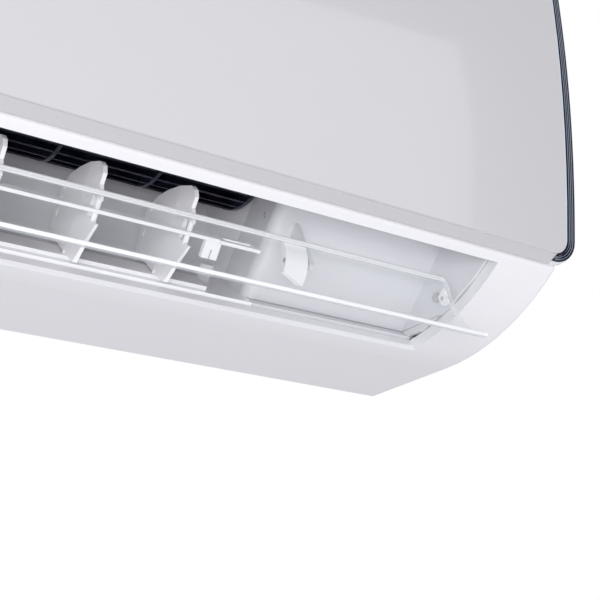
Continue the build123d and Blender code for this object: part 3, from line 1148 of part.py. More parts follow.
# Outlines of the blade, the bracket beside the pocket's lug and the lugs at both ends, as distances
# in front of and above the pivot. The bracket's foot is cut off at a slant, higher at its left.
LOUVER_LINE = from_pivot((1.6, 14.0), (4.2, 4.8), (7.6, -5.4), (14.6, -17.5), (22.6, -26.2), (36.7, -32.8))
LOUVER_BRACKET_FRONT = from_pivot((-0.7, 12.8), (1.4, 6.0), (1.9, 0.0), (0.6, -5.0), (-4.4, -11.7))
LOUVER_BRACKET_REAR = from_pivot((-6.8, -10.5), (-2.8, -5.0), (-2.3, 0.0), (-2.3, 6.0), (-3.2, 12.8))
LOUVER_BRACKET_FOOT_RISE = 5.3
LOUVER_LUG = from_pivot((-4.2, 2.0), (4.5, 9.0), (10.0, -4.0), (-0.5, -4.6))
LOUVER_TOP_CORNER = 7.0
LOUVER_LUG_INSET = 0.5
LOUVER_RIGHT_LUG_X = LOUVER_END_X - LOUVER_LUG_INSET - LOUVER_ARM_THICKNESS
LOUVER_LEFT_LUG_X = LOUVER_LUG_INSET - LOUVER_END_X


def louver_blade(end):
    """Bent strip of even thickness between two equal distances either side of the middle."""
    rear = []
    for index, (depth, height) in enumerate(LOUVER_LINE):
        before = LOUVER_LINE[max(index - 1, 0)]
        after = LOUVER_LINE[min(index + 1, len(LOUVER_LINE) - 1)]
        run = math.dist(before, after)
        aside = LOUVER_THICKNESS * (after[1] - before[1]) / run
        down = LOUVER_THICKNESS * (after[0] - before[0]) / run
        rear.append((depth + aside, height - down))
    return prism(
        -end,
        end,
        (SPLINE, LOUVER_LINE),
        (LINE, [LOUVER_LINE[-1], rear[-1]]),
        (SPLINE, rear[::-1]),
        (LINE, [rear[0], LOUVER_LINE[0]]),
    )


def make_louver():
    """Clear curved blade, steep at its top edge and turned forwards at its lower lip."""
    blade = louver_blade(LOUVER_END_X)
    corner, top = LOUVER_TOP_CORNER, LOUVER_LINE[0][1] + 1
    rear, front = LOUVER_PIVOT_DEPTH - 30, LOUVER_PIVOT_DEPTH + 25
    for side in (-1, 1):
        inner, outer = side * (LOUVER_END_X - corner), side * (LOUVER_END_X + 1)
        cutter = block(min(inner, outer), max(inner, outer), rear, front, top - corner, top + 1)
        blade -= cutter - post(inner, rear - 1, front + 1, top - corner, corner)
    return blade


def louver_bracket():
    """White bracket against the back of the blade, its lower end curved back and cut at a slant."""
    left, right = LOUVER_BRACKET_LEFT, LOUVER_BRACKET_RIGHT
    bracket = prism(
        left,
        right,
        (SPLINE, LOUVER_BRACKET_FRONT),
        (LINE, [LOUVER_BRACKET_FRONT[-1], LOUVER_BRACKET_REAR[0]]),
        (SPLINE, LOUVER_BRACKET_REAR),
        (LINE, [LOUVER_BRACKET_REAR[-1], LOUVER_BRACKET_FRONT[0]]),
    )
    foot, rear = LOUVER_BRACKET_FRONT[-1][1], LOUVER_PIVOT_DEPTH - 20
    low, high = foot - 9, foot + LOUVER_BRACKET_FOOT_RISE
    corners = [(left - 1, high), (right, foot), (right, low), (left - 1, low)]
    offcut = make_face(Polyline(*[at(x, rear, height) for x, height in corners], close=True))
    return bracket - extrude(offcut, amount=40, dir=(0, -1, 0))


def make_louver_arms():
    """White bracket behind the blade beside the pocket's lug, and a small lug at each end of the blade."""
    blade = louver_blade(LOUVER_END_X + 5)
    arms = [louver_bracket()]
    for left in (LOUVER_RIGHT_LUG_X, LOUVER_LEFT_LUG_X):
        arms.append(rounded_slab(left, left + LOUVER_ARM_THICKNESS, 2.0, *LOUVER_LUG))
    hole = LOUVER_PIN_RADIUS + 0.02
    bore = rod(-HALF_BODY, HALF_BODY, LOUVER_PIVOT_DEPTH, LOUVER_PIVOT_HEIGHT, hole)
    pieces = [(arm - bore - blade).solids().sort_by(lambda solid: solid.volume)[-1] for arm in arms]
    return Compound(children=pieces)


def make_louver_pins():
    """Steel pins on the louver's swing line: one in the lug, one in each end wall."""
    lug_right = LOUVER_BRACKET_RIGHT + LOUVER_LUG_GAP + LOUVER_LUG_THICKNESS
    spans = (
        (LOUVER_BRACKET_LEFT, lug_right),
        (LOUVER_RIGHT_LUG_X, STEPPER_LEFT_X + 4),
        (DUCT_LEFT_X - DUCT_WALL - 4, LOUVER_LEFT_LUG_X + LOUVER_ARM_THICKNESS),
    )
    depth, height = LOUVER_PIVOT_DEPTH, LOUVER_PIVOT_HEIGHT
    return Compound(children=[rod(low, high, depth, height, LOUVER_PIN_RADIUS) for low, high in spans])


def make_end_wall_cap():
    """Grey domed rubber cap on the outlet's right end wall, behind the louver's end."""
    (depth, height), = from_pivot((-12.8, 5.7))
    cap = rod(POCKET_END_X - 2.6, POCKET_END_X, depth, height, END_WALL_CAP_RADIUS)
    return fillet(cap.faces().sort_by(Axis.X)[0].edges(), 1.8)


STEPPER_RISE = 8.0
STEPPER_PLATE = 1.2


def make_louver_motor():
    """Small stepper outside the right end wall, its centre above the louver's pin."""
    wall = POCKET_END_X + DUCT_WALL
    depth, height = LOUVER_PIVOT_DEPTH, LOUVER_PIVOT_HEIGHT
    left = STEPPER_LEFT_X
    motor = rod(left, left + STEPPER_LENGTH, depth, height + STEPPER_RISE, STEPPER_RADIUS)
    motor += block(left, left + STEPPER_PLATE, depth - 18, depth + 18, height + 12, height + 19)
    motor += rod(wall, left + 1, depth, height, 2.6)
    for offset in (-15, 15):
        motor += rod(wall, left + 1, depth + offset, height + 15.5, 2.5)
    bore = LOUVER_PIN_RADIUS + LOUVER_PIN_CLEARANCE
    return motor - rod(wall - 1, left + 6, depth, height, bore)


# Vane outline: along the outlet floor from the casing's underside corner, and above the floor.
VANE_FOOT = FLOOR_LEVEL + RAIL_THICKNESS + VANE_GAP
NOTCH_REAR = 76.0
NOTCH_LOW = 100.0
NOTCH_HIGH = 112.0
VANE_OUTLINE = [
    (24.0, VANE_FOOT),
    (20.6, 76.7),
    (18.4, 89.0),
    (21.2, 101.5),
    (29.3, 110.6),
    (42.2, 118.4),
    (57.2, 125.3),
    (70.5, 129.5),
    (76.1, 128.9),
    (80.0, 125.6),
    (80.0, 119.2),
    (85.2, 115.6),
    (87.5, NOTCH_HIGH),
    (NOTCH_REAR, NOTCH_HIGH),
    (NOTCH_REAR, NOTCH_LOW),
    (91.6, NOTCH_LOW),
    (84.8, 89.2),
    (76.3, VANE_FOOT),
]
VANE_SLOTS = ((84.0, 88.5), (92.0, 96.5), (100.0, 103.5))


def vane_x(number):
    """Place of a vane along the unit, counted from the right."""
    return VANE_LAST_X - (number - 1) * VANE_PITCH


def make_vane(number):
    """Upright vane, thickest at the crease over its pivot, with a pin below and a link pin in its notch."""
    x = vane_x(number)
    section = [
        (14.0, -VANE_EDGE_HALF_THICKNESS),
        (VANE_PIVOT_ALONG, -VANE_HALF_THICKNESS),
        (96.0, -VANE_EDGE_HALF_THICKNESS),
        (96.0, VANE_EDGE_HALF_THICKNESS),
        (VANE_PIVOT_ALONG, VANE_HALF_THICKNESS),
        (14.0, VANE_EDGE_HALF_THICKNESS),
    ]
    foot = at(x, *flow(0, VANE_FOOT))
    floor = Plane(origin=foot, x_dir=(0, -FLOW_COS, -FLOW_SIN), z_dir=(0, -FLOW_SIN, FLOW_COS))
    vane = extrude(floor * make_face(Polyline(*section, close=True)), amount=60)
    vane &= flow_slab(x - 5, x + 5, *VANE_OUTLINE)
    for low, high in VANE_SLOTS:
        vane -= flow_slab(x - 5, x + 5, (25.5, low), (27.5, low), (27.5, high), (25.5, high))
    vane += flow_rod(x, VANE_PIVOT_ALONG, FLOOR_LEVEL + 0.25, VANE_FOOT + 1.5, VANE_PIN_RADIUS)
    vane += flow_rod(x, VANE_LINK_ALONG, NOTCH_LOW - 1, NOTCH_HIGH + 1, VANE_LINK_PIN_RADIUS)
    return vane


def make_vane_rail():
    """Strip on the outlet floor with the vanes' pivot holes."""
    top = FLOOR_LEVEL + RAIL_THICKNESS
    low, high = VANE_FIRST_X - RAIL_END_REACH, VANE_LAST_X + RAIL_END_REACH
    rail = flow_slab(low, high, (46, FLOOR_LEVEL), (64.4, FLOOR_LEVEL), (64.4, top), (46, top))
    for number in range(1, VANE_COUNT + 1):
        rail -= flow_rod(
            vane_x(number), VANE_PIVOT_ALONG, FLOOR_LEVEL - 1, top + 1, VANE_PIN_RADIUS + VANE_PIN_CLEARANCE
        )
    return rail


def make_link_bar(first, last, with_end):
    """Flat bar through the vanes' notches, with a hole on every link pin."""
    low, high = vane_x(last) - 10, vane_x(first) + 10
    rear, front = VANE_LINK_ALONG - LINK_BAR_WIDTH / 2, VANE_LINK_ALONG + LINK_BAR_WIDTH / 2
    under, over = VANE_LINK_LEVEL - LINK_BAR_THICKNESS / 2, VANE_LINK_LEVEL + LINK_BAR_THICKNESS / 2
    if with_end:
        high = VANE_LAST_X + LINK_BAR_END_REACH
    bar = flow_slab(low, high, (rear, under), (front, under), (front, over), (rear, over))
    if with_end:
        # slotted grip plate, and a forked clip that hangs below it
        bar += flow_slab(
            high - LINK_SLOT_LENGTH - 4, high, (rear - 2, under), (front + 2, under),
            (front + 2, over), (rear - 2, over)
        )
        bar -= flow_slab(
            high - LINK_SLOT_LENGTH, high - 4, (rear + 2, under - 1), (front - 1.5, under - 1),
            (front - 1.5, over + 1), (rear + 2, over + 1)
        )
        fork = VANE_LAST_X + LINK_FORK_REACH
        for left, width, foot in ((fork - 3, 8.6, 99.5), (fork - 3.6, 4.4, 94.0), (fork + 1.8, 4.4, 94.0)):
            bar += flow_slab(left, left + width, (82.0, foot), (85.5, foot), (85.5, under), (82.0, under))
    for number in range(first, last + 1):
        hole = VANE_LINK_PIN_RADIUS + VANE_PIN_CLEARANCE
        bar -= flow_rod(vane_x(number), VANE_LINK_ALONG, under - 1, over + 1, hole)
    return bar


def all_parts():
    """Every part by name."""
    duct = make_air_duct()
    parts = {
        "mounting_plate": make_wall_plate(),
        "rear_chassis": make_rear_chassis(duct),
        "air_duct": duct,
        "front_casing": make_front_casing(),
        "intake_grille": make_intake_grille(),
        "outlet_pocket_right": make_outlet_pocket(),
        "outlet_wall_left": make_outlet_wall_left(),
        "drain_pan": make_drain_pan(),
        "drain_pan_foam": make_pan_foam(),
        "drain_spout": make_drain_spout(),
        "return_bends": make_return_bends(),
        "flare_nuts": make_flare_nuts(),
        "pipe_insulation": make_insulation(),
        "cross_flow_fan": make_fan(),
        "fan_spindle": make_fan_spindle(),
        "fan_bearing": make_fan_bearing(),
        "bearing_cushion": make_bearing_cushion(),
        "fan_motor": make_fan_motor(),
        "motor_shaft": make_motor_shaft(),
        "motor_clamp": make_motor_clamp(),
        "electric_box": make_electric_box(),
        "electric_cover": make_electric_cover(),
        "circuit_board": make_circuit_board(),
        "terminal_block": make_terminal_block(),
        "receiver_board": make_receiver_board(),
        "service_button": make_service_button(),
        "air_filter_left": make_air_filter(WINDOW_LEFT + FILTER_GAP, WINDOW_MIDDLE - FILTER_GAP),
        "air_filter_right": make_air_filter(WINDOW_MIDDLE + FILTER_GAP, WINDOW_RIGHT - FILTER_GAP),
        "casing_screws": make_casing_screws(),
        "screw_caps": make_screw_caps(),
        "pipe_knockouts": make_knockouts(),
        "front_panel": make_front_panel(),
        "panel_back_frame": make_panel_frame(),
        "edge_trim_right": make_edge_trim(1),
        "edge_trim_left": make_edge_trim(-1),
        "panel_hinge_pins": make_hinge_pins(),
        "louver": make_louver(),
        "louver_arms": make_louver_arms(),
        "louver_pins": make_louver_pins(),
        "end_wall_cap": make_end_wall_cap(),
        "louver_motor": make_louver_motor(),
        "vane_rail": make_vane_rail(),
        "link_bar_right": make_link_bar(1, VANES_PER_BANK, True),
        "link_bar_left": make_link_bar(VANES_PER_BANK + 1, VANE_COUNT, False),
    }
    for name, points in FIN_PACKS.items():
        parts[name] = make_fin_pack(points)
    for name, sizes in PIPES.items():
        parts[name] = make_pipe(*sizes)
    for number in range(1, VANE_COUNT + 1):
        parts[f"vane_{number}"] = make_vane(number)
    return parts


os.makedirs("parts", exist_ok=True)
for part_name, part_shape in all_parts().items():
    export_step(part_shape, f"parts/{part_name}.step")
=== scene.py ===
import math

import bpy
import numpy as np
from mathutils import Matrix, Vector


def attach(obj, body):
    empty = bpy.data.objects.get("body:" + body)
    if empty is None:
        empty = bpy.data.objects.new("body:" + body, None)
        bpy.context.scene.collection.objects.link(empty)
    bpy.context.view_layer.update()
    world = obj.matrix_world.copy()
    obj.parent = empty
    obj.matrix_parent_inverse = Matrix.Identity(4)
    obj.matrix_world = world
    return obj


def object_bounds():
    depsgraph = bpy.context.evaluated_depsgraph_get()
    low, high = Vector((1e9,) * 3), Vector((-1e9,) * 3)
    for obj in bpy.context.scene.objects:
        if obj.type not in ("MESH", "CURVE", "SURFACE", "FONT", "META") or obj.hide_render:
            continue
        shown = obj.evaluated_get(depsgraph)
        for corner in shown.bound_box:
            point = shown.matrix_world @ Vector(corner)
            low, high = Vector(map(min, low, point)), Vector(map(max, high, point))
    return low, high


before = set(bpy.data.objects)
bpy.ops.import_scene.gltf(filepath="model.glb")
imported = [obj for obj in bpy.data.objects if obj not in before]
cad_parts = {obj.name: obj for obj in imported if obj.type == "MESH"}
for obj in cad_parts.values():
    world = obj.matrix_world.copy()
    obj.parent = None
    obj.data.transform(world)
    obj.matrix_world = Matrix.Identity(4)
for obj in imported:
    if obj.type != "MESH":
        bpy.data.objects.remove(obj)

cad_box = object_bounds()

# ---- Camera ----
# It stands low in front of the unit's middle and looks up at the unit's right end, through
# a lens of about 29 degrees across.
LENS_MM = 69.0
SENSOR_MM = 36.0
NEAREST = 0.01
CAMERA_PLACE = Vector((-0.0725, -0.6589, -0.3771))
CAMERA_RIGHT = Vector((0.83999, -0.54260, 0.0))
CAMERA_UP = Vector((-0.18809, -0.29118, 0.93799))

lens = bpy.data.cameras.new("camera")
lens.lens = LENS_MM
lens.sensor_width = SENSOR_MM
lens.clip_start = NEAREST
camera = bpy.data.objects.new("camera", lens)
bpy.context.scene.collection.objects.link(camera)
turn = Matrix((CAMERA_RIGHT, CAMERA_UP, CAMERA_RIGHT.cross(CAMERA_UP))).transposed()
camera.matrix_world = Matrix.Translation(CAMERA_PLACE) @ turn.to_4x4()
bpy.context.scene.camera = camera

# ---- Studio ----
# A white surround fills the shadows. Wide soft lamps stand low in front, below, low at the
# right, and above, and one more is only seen as a soft sheen on glossy faces.
SURROUND_SEEN = 1.0
SURROUND_LIGHT = 0.59
SEEN_WHITE = (1, 1, 1, 1)
LIGHT_WHITE = (0.97, 0.97, 1, 1)
SHEEN_LAMP = "lamp_sheen"
# Each lamp's place, the point that it faces, its width, its height and its watts.
LAMPS = {
    "lamp_low_left": ((-1.6, -1.7, -0.9), (0.15, -0.1, -0.1), 1.2, 1.0, 14),
    "lamp_low_front": ((-0.85, -2.2, -0.95), (0.15, -0.1, -0.1), 1.0, 0.6, 25),
    "lamp_below": ((0.1, -0.4, -1.60), (0.1, -0.4, 0), 3.4, 3.0, 2.5),
    "lamp_low_right": ((1.9, -0.8, -0.7), (0.3, -0.1, -0.1), 1.0, 1.2, 1.5),
    "lamp_over": ((-0.2, -0.8, 2.0), (0, -0.2, -0.2), 2.4, 2.0, 15),
    SHEEN_LAMP: ((1.05, -2.85, 0.7), (0.15, -0.2, 0), 2.4, 2.0, 13),
}

bpy.context.scene.view_settings.view_transform = "Standard"
surround = bpy.data.worlds.new("surround")
bpy.context.scene.world = surround
surround.use_nodes = True
sky = surround.node_tree
sky.nodes.clear()
seen = sky.nodes.new("ShaderNodeLightPath")
shown = sky.nodes.new("ShaderNodeBackground")
shown.inputs["Color"].default_value = SEEN_WHITE
shown.inputs["Strength"].default_value = SURROUND_SEEN
fill = sky.nodes.new("ShaderNodeBackground")
fill.inputs["Color"].default_value = LIGHT_WHITE
fill.inputs["Strength"].default_value = SURROUND_LIGHT
pick = sky.nodes.new("ShaderNodeMixShader")
sky.links.new(seen.outputs["Is Camera Ray"], pick.inputs[0])
sky.links.new(fill.outputs[0], pick.inputs[1])
sky.links.new(shown.outputs[0], pick.inputs[2])
out = sky.nodes.new("ShaderNodeOutputWorld")
sky.links.new(pick.outputs[0], out.inputs["Surface"])

for name, (place, aim, width, height, watts) in LAMPS.items():
    light = bpy.data.lights.new(name, "AREA")
    light.shape = "RECTANGLE"
    light.size = width
    light.size_y = height
    light.energy = watts
    lamp = bpy.data.objects.new(name, light)
    bpy.context.scene.collection.objects.link(lamp)
    direction = Vector(aim) - Vector(place)
    lamp.rotation_mode = "QUATERNION"
    lamp.rotation_quaternion = direction.to_track_quat("-Z", "Y")
    lamp.location = place
    lamp.visible_camera = False
    lamp.visible_diffuse = name != SHEEN_LAMP

# ---- Floor ----
# A large sheet of matt white paper, very slightly uneven in tone. It lies well below the
# unit, because the unit hangs on a wall.
FLOOR_BELOW = 1.5
FLOOR_REACH = 12.0
FLOOR_WHITE = (0.89, 0.89, 0.91)
FLOOR_SHADE = (0.85, 0.85, 0.87)


class Signal:
    """One shader value. Arithmetic on it adds Math nodes to its finish."""

    def __init__(self, finish, socket):
        self.finish, self.socket = finish, socket

    def math(self, operation, *terms):
        """The value that a Math node gives for this operation on the terms."""
        return self.finish.node("ShaderNodeMath", {"operation": operation}, dict(enumerate(terms)))

    def __add__(self, other):
        return self.math("ADD", self, other)

    def __radd__(self, other):
        return self.math("ADD", other, self)

    def __sub__(self, other):
        return self.math("SUBTRACT", self, other)

    def __rsub__(self, other):
        return self.math("SUBTRACT", other, self)

    def __mul__(self, other):
        return self.math("MULTIPLY", self, other)

    def __rmul__(self, other):
        return self.math("MULTIPLY", other, self)

    def __truediv__(self, other):
        return self.math("DIVIDE", self, other)

    def __rtruediv__(self, other):
        return self.math("DIVIDE", other, self)

    def __pow__(self, other):
        return self.math("POWER", self, other)

    def __abs__(self):
        return self.math("ABSOLUTE", self)

    def most(self, other):
        """The larger of this value and another."""
        return self.math("MAXIMUM", self, other)

    def fraction(self):
        """What is left of the value above the whole number below it."""
        return self.math("FRACT", self)

    def step(self, low, high):
        """0 below low, 1 above high, and smooth between them."""
        settings = {"interpolation_type": "SMOOTHSTEP"}
        return self.finish.node("ShaderNodeMapRange", settings, {0: self, 1: low, 2: high})


class Finish:
    """A material: one Principled shader and the nodes that feed it."""

    def __init__(self, name, color, roughness, **fixed):
        self.material = bpy.data.materials.new(name)
        self.material.use_nodes = True
        self.tree = self.material.node_tree
        self.shader = self.tree.nodes["Principled BSDF"]
        self.shader.inputs["Base Color"].default_value = (*color, 1)
        self.shader.inputs["Roughness"].default_value = roughness
        for socket, value in fixed.items():
            self.shader.inputs[socket.replace("_", " ")].default_value = value

    def node(self, kind, settings=None, inputs=None, output=0):
        """Adds a node, applies its settings, fills its sockets and gives one of its outputs."""
        made = self.tree.nodes.new(kind)
        for setting, value in (settings or {}).items():
            setattr(made, setting, value)
        for socket, value in (inputs or {}).items():
            if isinstance(value, Signal):
                self.tree.links.new(value.socket, made.inputs[socket])
            else:
                made.inputs[socket].default_value = value
        return Signal(self, made.outputs[output])

    def place(self):
        """The point on the piece, in metres of the shared frame."""
        return self.node("ShaderNodeTexCoord", output="Object")

    def axis(self, letter):
        """One coordinate of the point on the piece."""
        return self.node("ShaderNodeSeparateXYZ", inputs={0: self.place()}, output=letter)

    def noise(self, scale, detail=2.0, stretch=(1, 1, 1)):
        """Smooth noise from 0 to 1 with that many waves in a metre."""
        spread = self.node("ShaderNodeVectorMath", {"operation": "MULTIPLY"}, {0: self.place(), 1: stretch})
        return self.node("ShaderNodeTexNoise", inputs={"Vector": spread, "Scale": scale, "Detail": detail})

    def blend(self, amount, first, second):
        """Colour between two colours, each of them fixed or made by nodes."""
        sides = {6: first, 7: second}
        for socket, color in sides.items():
            if isinstance(color, tuple):
                sides[socket] = (*color, 1)
        return self.node("ShaderNodeMix", {"data_type": "RGBA"}, {0: amount, **sides}, output=2)

    def feed(self, **sockets):
        """Links values to the shader."""
        for socket, value in sockets.items():
            self.tree.links.new(value.socket, self.shader.inputs[socket.replace("_", " ")])
        return self

    def vary(self, amount, first, second, roughness, spread):
        """As the amount grows, colour goes from first to second and roughness grows by spread."""
        return self.feed(Base_Color=self.blend(amount, first, second), Roughness=roughness + amount * spread)

    def mark(self, amount, color):
        """Lays a colour over the colour that the shader already gets."""
        under = Signal(self, self.shader.inputs["Base Color"].links[0].from_socket)
        return self.feed(Base_Color=self.blend(amount, under, color))

    def bump(self, height, strength, reach=0.001):
        """Raises the surface by a height in units of reach."""
        inputs = {"Height": height, "Strength": strength, "Distance": reach}
        return self.feed(Normal=self.node("ShaderNodeBump", inputs=inputs))


paper = Finish("studio_paper", FLOOR_WHITE, 0.9)
paper.vary(paper.noise(3, 3), FLOOR_WHITE, FLOOR_SHADE, roughness=0.85, spread=0.1)
paper.bump(paper.noise(900, 2), 0.05, 0.0002)

half = FLOOR_REACH / 2
floor_z = cad_box[0][2] - FLOOR_BELOW
corners = [(-half, -half, floor_z), (half, -half, floor_z), (half, half, floor_z), (-half, half, floor_z)]
sheet = bpy.data.meshes.new("studio_floor")
sheet.from_pydata(corners, [], [(0, 1, 2, 3)])
sheet.materials.append(paper.material)
floor = bpy.data.objects.new("studio_floor", sheet)
bpy.context.scene.collection.objects.link(floor)

# ---- Outer casing ----
# Satin white ABS moulded in one piece, with the break-out plates of the pipe openings and the
# caps over its screws. The mould is spark-eroded very finely, so the gloss is slightly broken.
WHITE = (0.800, 0.800, 0.823)
DULL_WHITE = (0.785, 0.785, 0.807)
# Waves in a metre, in the tone, in the gloss and in the face of a white moulding.
CLOUD_WAVES = 14
GLOSS_WAVES = 1400
GRAIN_WAVES = 2200
GRAIN_REACH = 0.0001
COAT_ROUGHNESS = 0.12


def dress(finish, *nodes):
    """Gives CAD nodes a finish."""
    for name in nodes:
        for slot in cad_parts[name].material_slots:
            slot.material = finish.material


def white_plastic(name, roughness, coat, grain=0.05, clear=WHITE, dull=DULL_WHITE):
    """White moulding: two near whites in broad clouds, and a fine even grain."""
    made = Finish(name, clear, roughness, Coat_Weight=coat, Coat_Roughness=COAT_ROUGHNESS)
    clouds = made.noise(CLOUD_WAVES, 3)
    made.feed(
        Base_Color=made.blend(clouds, clear, dull),
        Roughness=roughness - 0.03 + clouds * 0.06 + made.noise(GLOSS_WAVES, 2) * 0.04,
    )
    return made.bump(made.noise(GRAIN_WAVES, 2), grain, GRAIN_REACH)


dress(white_plastic("satin_white_casing", 0.27, 0.35), "front_casing", "pipe_knockouts", "screw_caps")

# ---- Front panel ----
# A gently curved plate of white plastic with a clear gloss face. Its rounded edge, beside
# the dark strip, gets a painted pale blue reflection.
# The plate's white is much greyer than the casing's white: painted shade on the front.
PLATE_SHADED_WHITE = (0.545, 0.545, 0.562)
PLATE_SHADED_DULL = (0.530, 0.530, 0.547)
PLATE_EDGE_REFLECTION_BLUE = (0.56, 0.68, 0.84)
PLATE_HALF = 0.419
PLATE_EDGE_START = PLATE_HALF - 0.0015
PLATE_EDGE_FULL = PLATE_HALF - 0.0007

panel_gloss = Finish("gloss_white_panel", PLATE_SHADED_WHITE, 0.16, Coat_Weight=0.8, Coat_Roughness=0.04)
panel_gloss.vary(panel_gloss.noise(9, 2), PLATE_SHADED_WHITE, PLATE_SHADED_DULL, roughness=0.13, spread=0.05)
# Painted pale blue reflection along the plate's rounded edge.
panel_gloss.mark(abs(panel_gloss.axis("X")).step(PLATE_EDGE_START, PLATE_EDGE_FULL), PLATE_EDGE_REFLECTION_BLUE)
panel_gloss.bump(panel_gloss.noise(240, 2), 0.02, 0.0003)
dress(panel_gloss, "front_panel")

# ---- Edge strips of the panel ----
# Dark blue-grey strips at both ends of the plate, moulded in four steps that follow the
# plate's rounded outline. The edges between the steps are fine ribs with painted highlights.
STRIP_DARK = (0.010, 0.014, 0.030)
# Colour of the painted highlight on the ribs.
RIB_HIGHLIGHT = (0.36, 0.39, 0.45)
STEPS = 4
MIDDLE_Z = 0.0093
CORNER_X = 0.4120
CORNER_Z = 0.1054
CORNER_RADIUS = 0.0125
CORNER_SHIFT_X = 0.0060
CORNER_SHIFT_Z = -0.0029
CORNER_GROWTH = 0.0050
# Where a rib begins and ends, as shares of a step.
RIB_RISE = (0.33, 0.38)
RIB_FALL = (0.50, 0.54)
# Where the ribs begin and end, as shares of the strip's width.
RIBS_START = (0.04, 0.08)
RIBS_END = (0.80, 0.84)
# How strong the painted highlight on a rib is at least, and how much stronger in places.
HIGHLIGHT_LEAST = 0.75
HIGHLIGHT_MORE = 0.25

strip = Finish("dark_ribbed_strip", STRIP_DARK, 0.34, Specular_IOR_Level=0.2)
past_x = (abs(strip.axis("X")) - CORNER_X).most(0.0)
past_z = (abs(strip.axis("Z") - MIDDLE_Z) - CORNER_Z).most(0.0)
from_corner = (past_x * past_x + past_z * past_z) ** 0.5
width = (past_x * CORNER_SHIFT_X + past_z * CORNER_SHIFT_Z) / from_corner + CORNER_GROWTH
# The share of the strip's width, from the plate's edge (0) to the outer edge (1).
share = 0.5 + (from_corner - CORNER_RADIUS) / width
in_step = (share * STEPS + 0.5).fraction()
rib = in_step.step(*RIB_RISE) * (1 - in_step.step(*RIB_FALL))
ribs = rib * share.step(*RIBS_START) * (1 - share.step(*RIBS_END))
# Painted highlight on the ribs, stronger in places; the same noise also makes the gloss uneven.
uneven_gloss_and_highlight = strip.noise(160, 3)
strip.feed(
    Base_Color=strip.blend(ribs * (HIGHLIGHT_LEAST + uneven_gloss_and_highlight * HIGHLIGHT_MORE), STRIP_DARK, RIB_HIGHLIGHT),
    Roughness=0.30 + uneven_gloss_and_highlight * 0.12,
)
strip.bump(strip.noise(1500, 2), 0.08, 0.0001)
dress(strip, "edge_trim_left", "edge_trim_right")

# ---- Panel's back frame and the intake grille ----
# Plain white ABS mouldings with a matt face: the frame that the gloss plate is fixed on, and
# the slotted grille in the casing's top.
dress(white_plastic("matt_white_frame", 0.42, 0.05, 0.10), "panel_back_frame", "intake_grille")

# ---- Steel pins, screws and shafts ----
# Hinge and louver pins, the casing's screws, the fan's spindle and the motor's shaft are
# turned from steel rod, which leaves fine marks round them.
STEEL = (0.50, 0.51, 0.52)
STEEL_DARK = (0.44, 0.45, 0.47)
STEEL_LIGHT = (0.62, 0.62, 0.62)

steel = Finish("turned_steel", STEEL, 0.30, Metallic=1.0)
turning = steel.noise(500, 2, (8, 1, 1))
steel.vary(turning, STEEL_DARK, STEEL_LIGHT, roughness=0.22, spread=0.2)
steel.bump(turning, 0.12, 0.0001)
dress(steel, "panel_hinge_pins", "casing_screws", "louver_pins", "fan_spindle", "motor_shaft")

# ---- Air filters ----
# Fine blue-grey plastic nets, drawn out by hand. Their threads lie at an even pitch along
# the net and across it.
NET_PITCH = 0.0014
NET_WIDTH = 0.30
NET_THREAD = (0.36, 0.42, 0.48)
NET_HOLE = (0.045, 0.055, 0.07)
# A thread's soft side, and where the next one begins and is full, as shares of the pitch.
THREAD_SIDE = 0.12
THREAD_NEXT = (0.86, 0.98)


def threads(along, pitch, width):
    """1 on a thread and 0 between threads, for threads at an even pitch."""
    part = (along / pitch).fraction()
    return 1 - part.step(width, width + THREAD_SIDE) * (1 - part.step(*THREAD_NEXT))


net = Finish("filter_net", NET_THREAD, 0.55)
weft = threads(net.axis("X"), NET_PITCH, NET_WIDTH)
warp = threads(net.axis("Z") - net.axis("Y"), NET_PITCH, NET_WIDTH)
weave = weft.most(warp)
net.vary(weave, NET_HOLE, NET_THREAD, roughness=0.45, spread=0.2)
net.bump(weave, 0.35, 0.0002)
dress(net, "air_filter_left", "air_filter_right")

# ---- Heat exchanger ----
# Packs of thin aluminium fins with a pale water-shedding coat, pressed close together along
# the unit. Handling has left them unevenly dull.
FIN_PITCH = 0.0015
FIN_WIDTH = 0.42
FIN_METAL = (0.55, 0.60, 0.64)
FIN_PALE = (0.64, 0.68, 0.70)
FIN_GAP = (0.03, 0.035, 0.04)

fins = Finish("coated_aluminium_fins", FIN_METAL, 0.35, Metallic=0.8)
fin = threads(fins.axis("X"), FIN_PITCH, FIN_WIDTH)
handling = fins.noise(60, 3)
fins.feed(
    Base_Color=fins.blend(fin, FIN_GAP, fins.blend(handling, FIN_METAL, FIN_PALE)),
    Roughness=0.28 + handling * 0.2,
)
fins.bump(fin, 0.6, 0.0005)
dress(fins, "evaporator_rear", "evaporator_front_upper", "evaporator_front_lower")

# ---- Copper pipes, brass nuts and bearing ----
# The pipes and the return bends are drawn copper, tarnished in patches. The flare nuts and
# the fan's bearing are turned from brass.
COPPER = (0.72, 0.38, 0.22)
COPPER_BRIGHT = (0.80, 0.44, 0.28)
COPPER_TARNISHED = (0.42, 0.20, 0.12)
BRASS = (0.70, 0.53, 0.24)
BRASS_BRIGHT = (0.76, 0.58, 0.28)
BRASS_DARK = (0.55, 0.40, 0.17)

copper = Finish("drawn_copper", COPPER, 0.28, Metallic=1.0)
copper.vary(copper.noise(45, 4), COPPER_BRIGHT, COPPER_TARNISHED, roughness=0.18, spread=0.28)
copper.bump(copper.noise(700, 2), 0.10, 0.0001)
dress(copper, "return_bends", "gas_pipe", "liquid_pipe")

brass = Finish("machined_brass", BRASS, 0.25, Metallic=1.0)
cut = brass.noise(420, 3, (6, 1, 1))
brass.vary(cut, BRASS_BRIGHT, BRASS_DARK, roughness=0.18, spread=0.2)
brass.bump(cut, 0.10, 0.0001)
dress(brass, "flare_nuts", "fan_bearing")

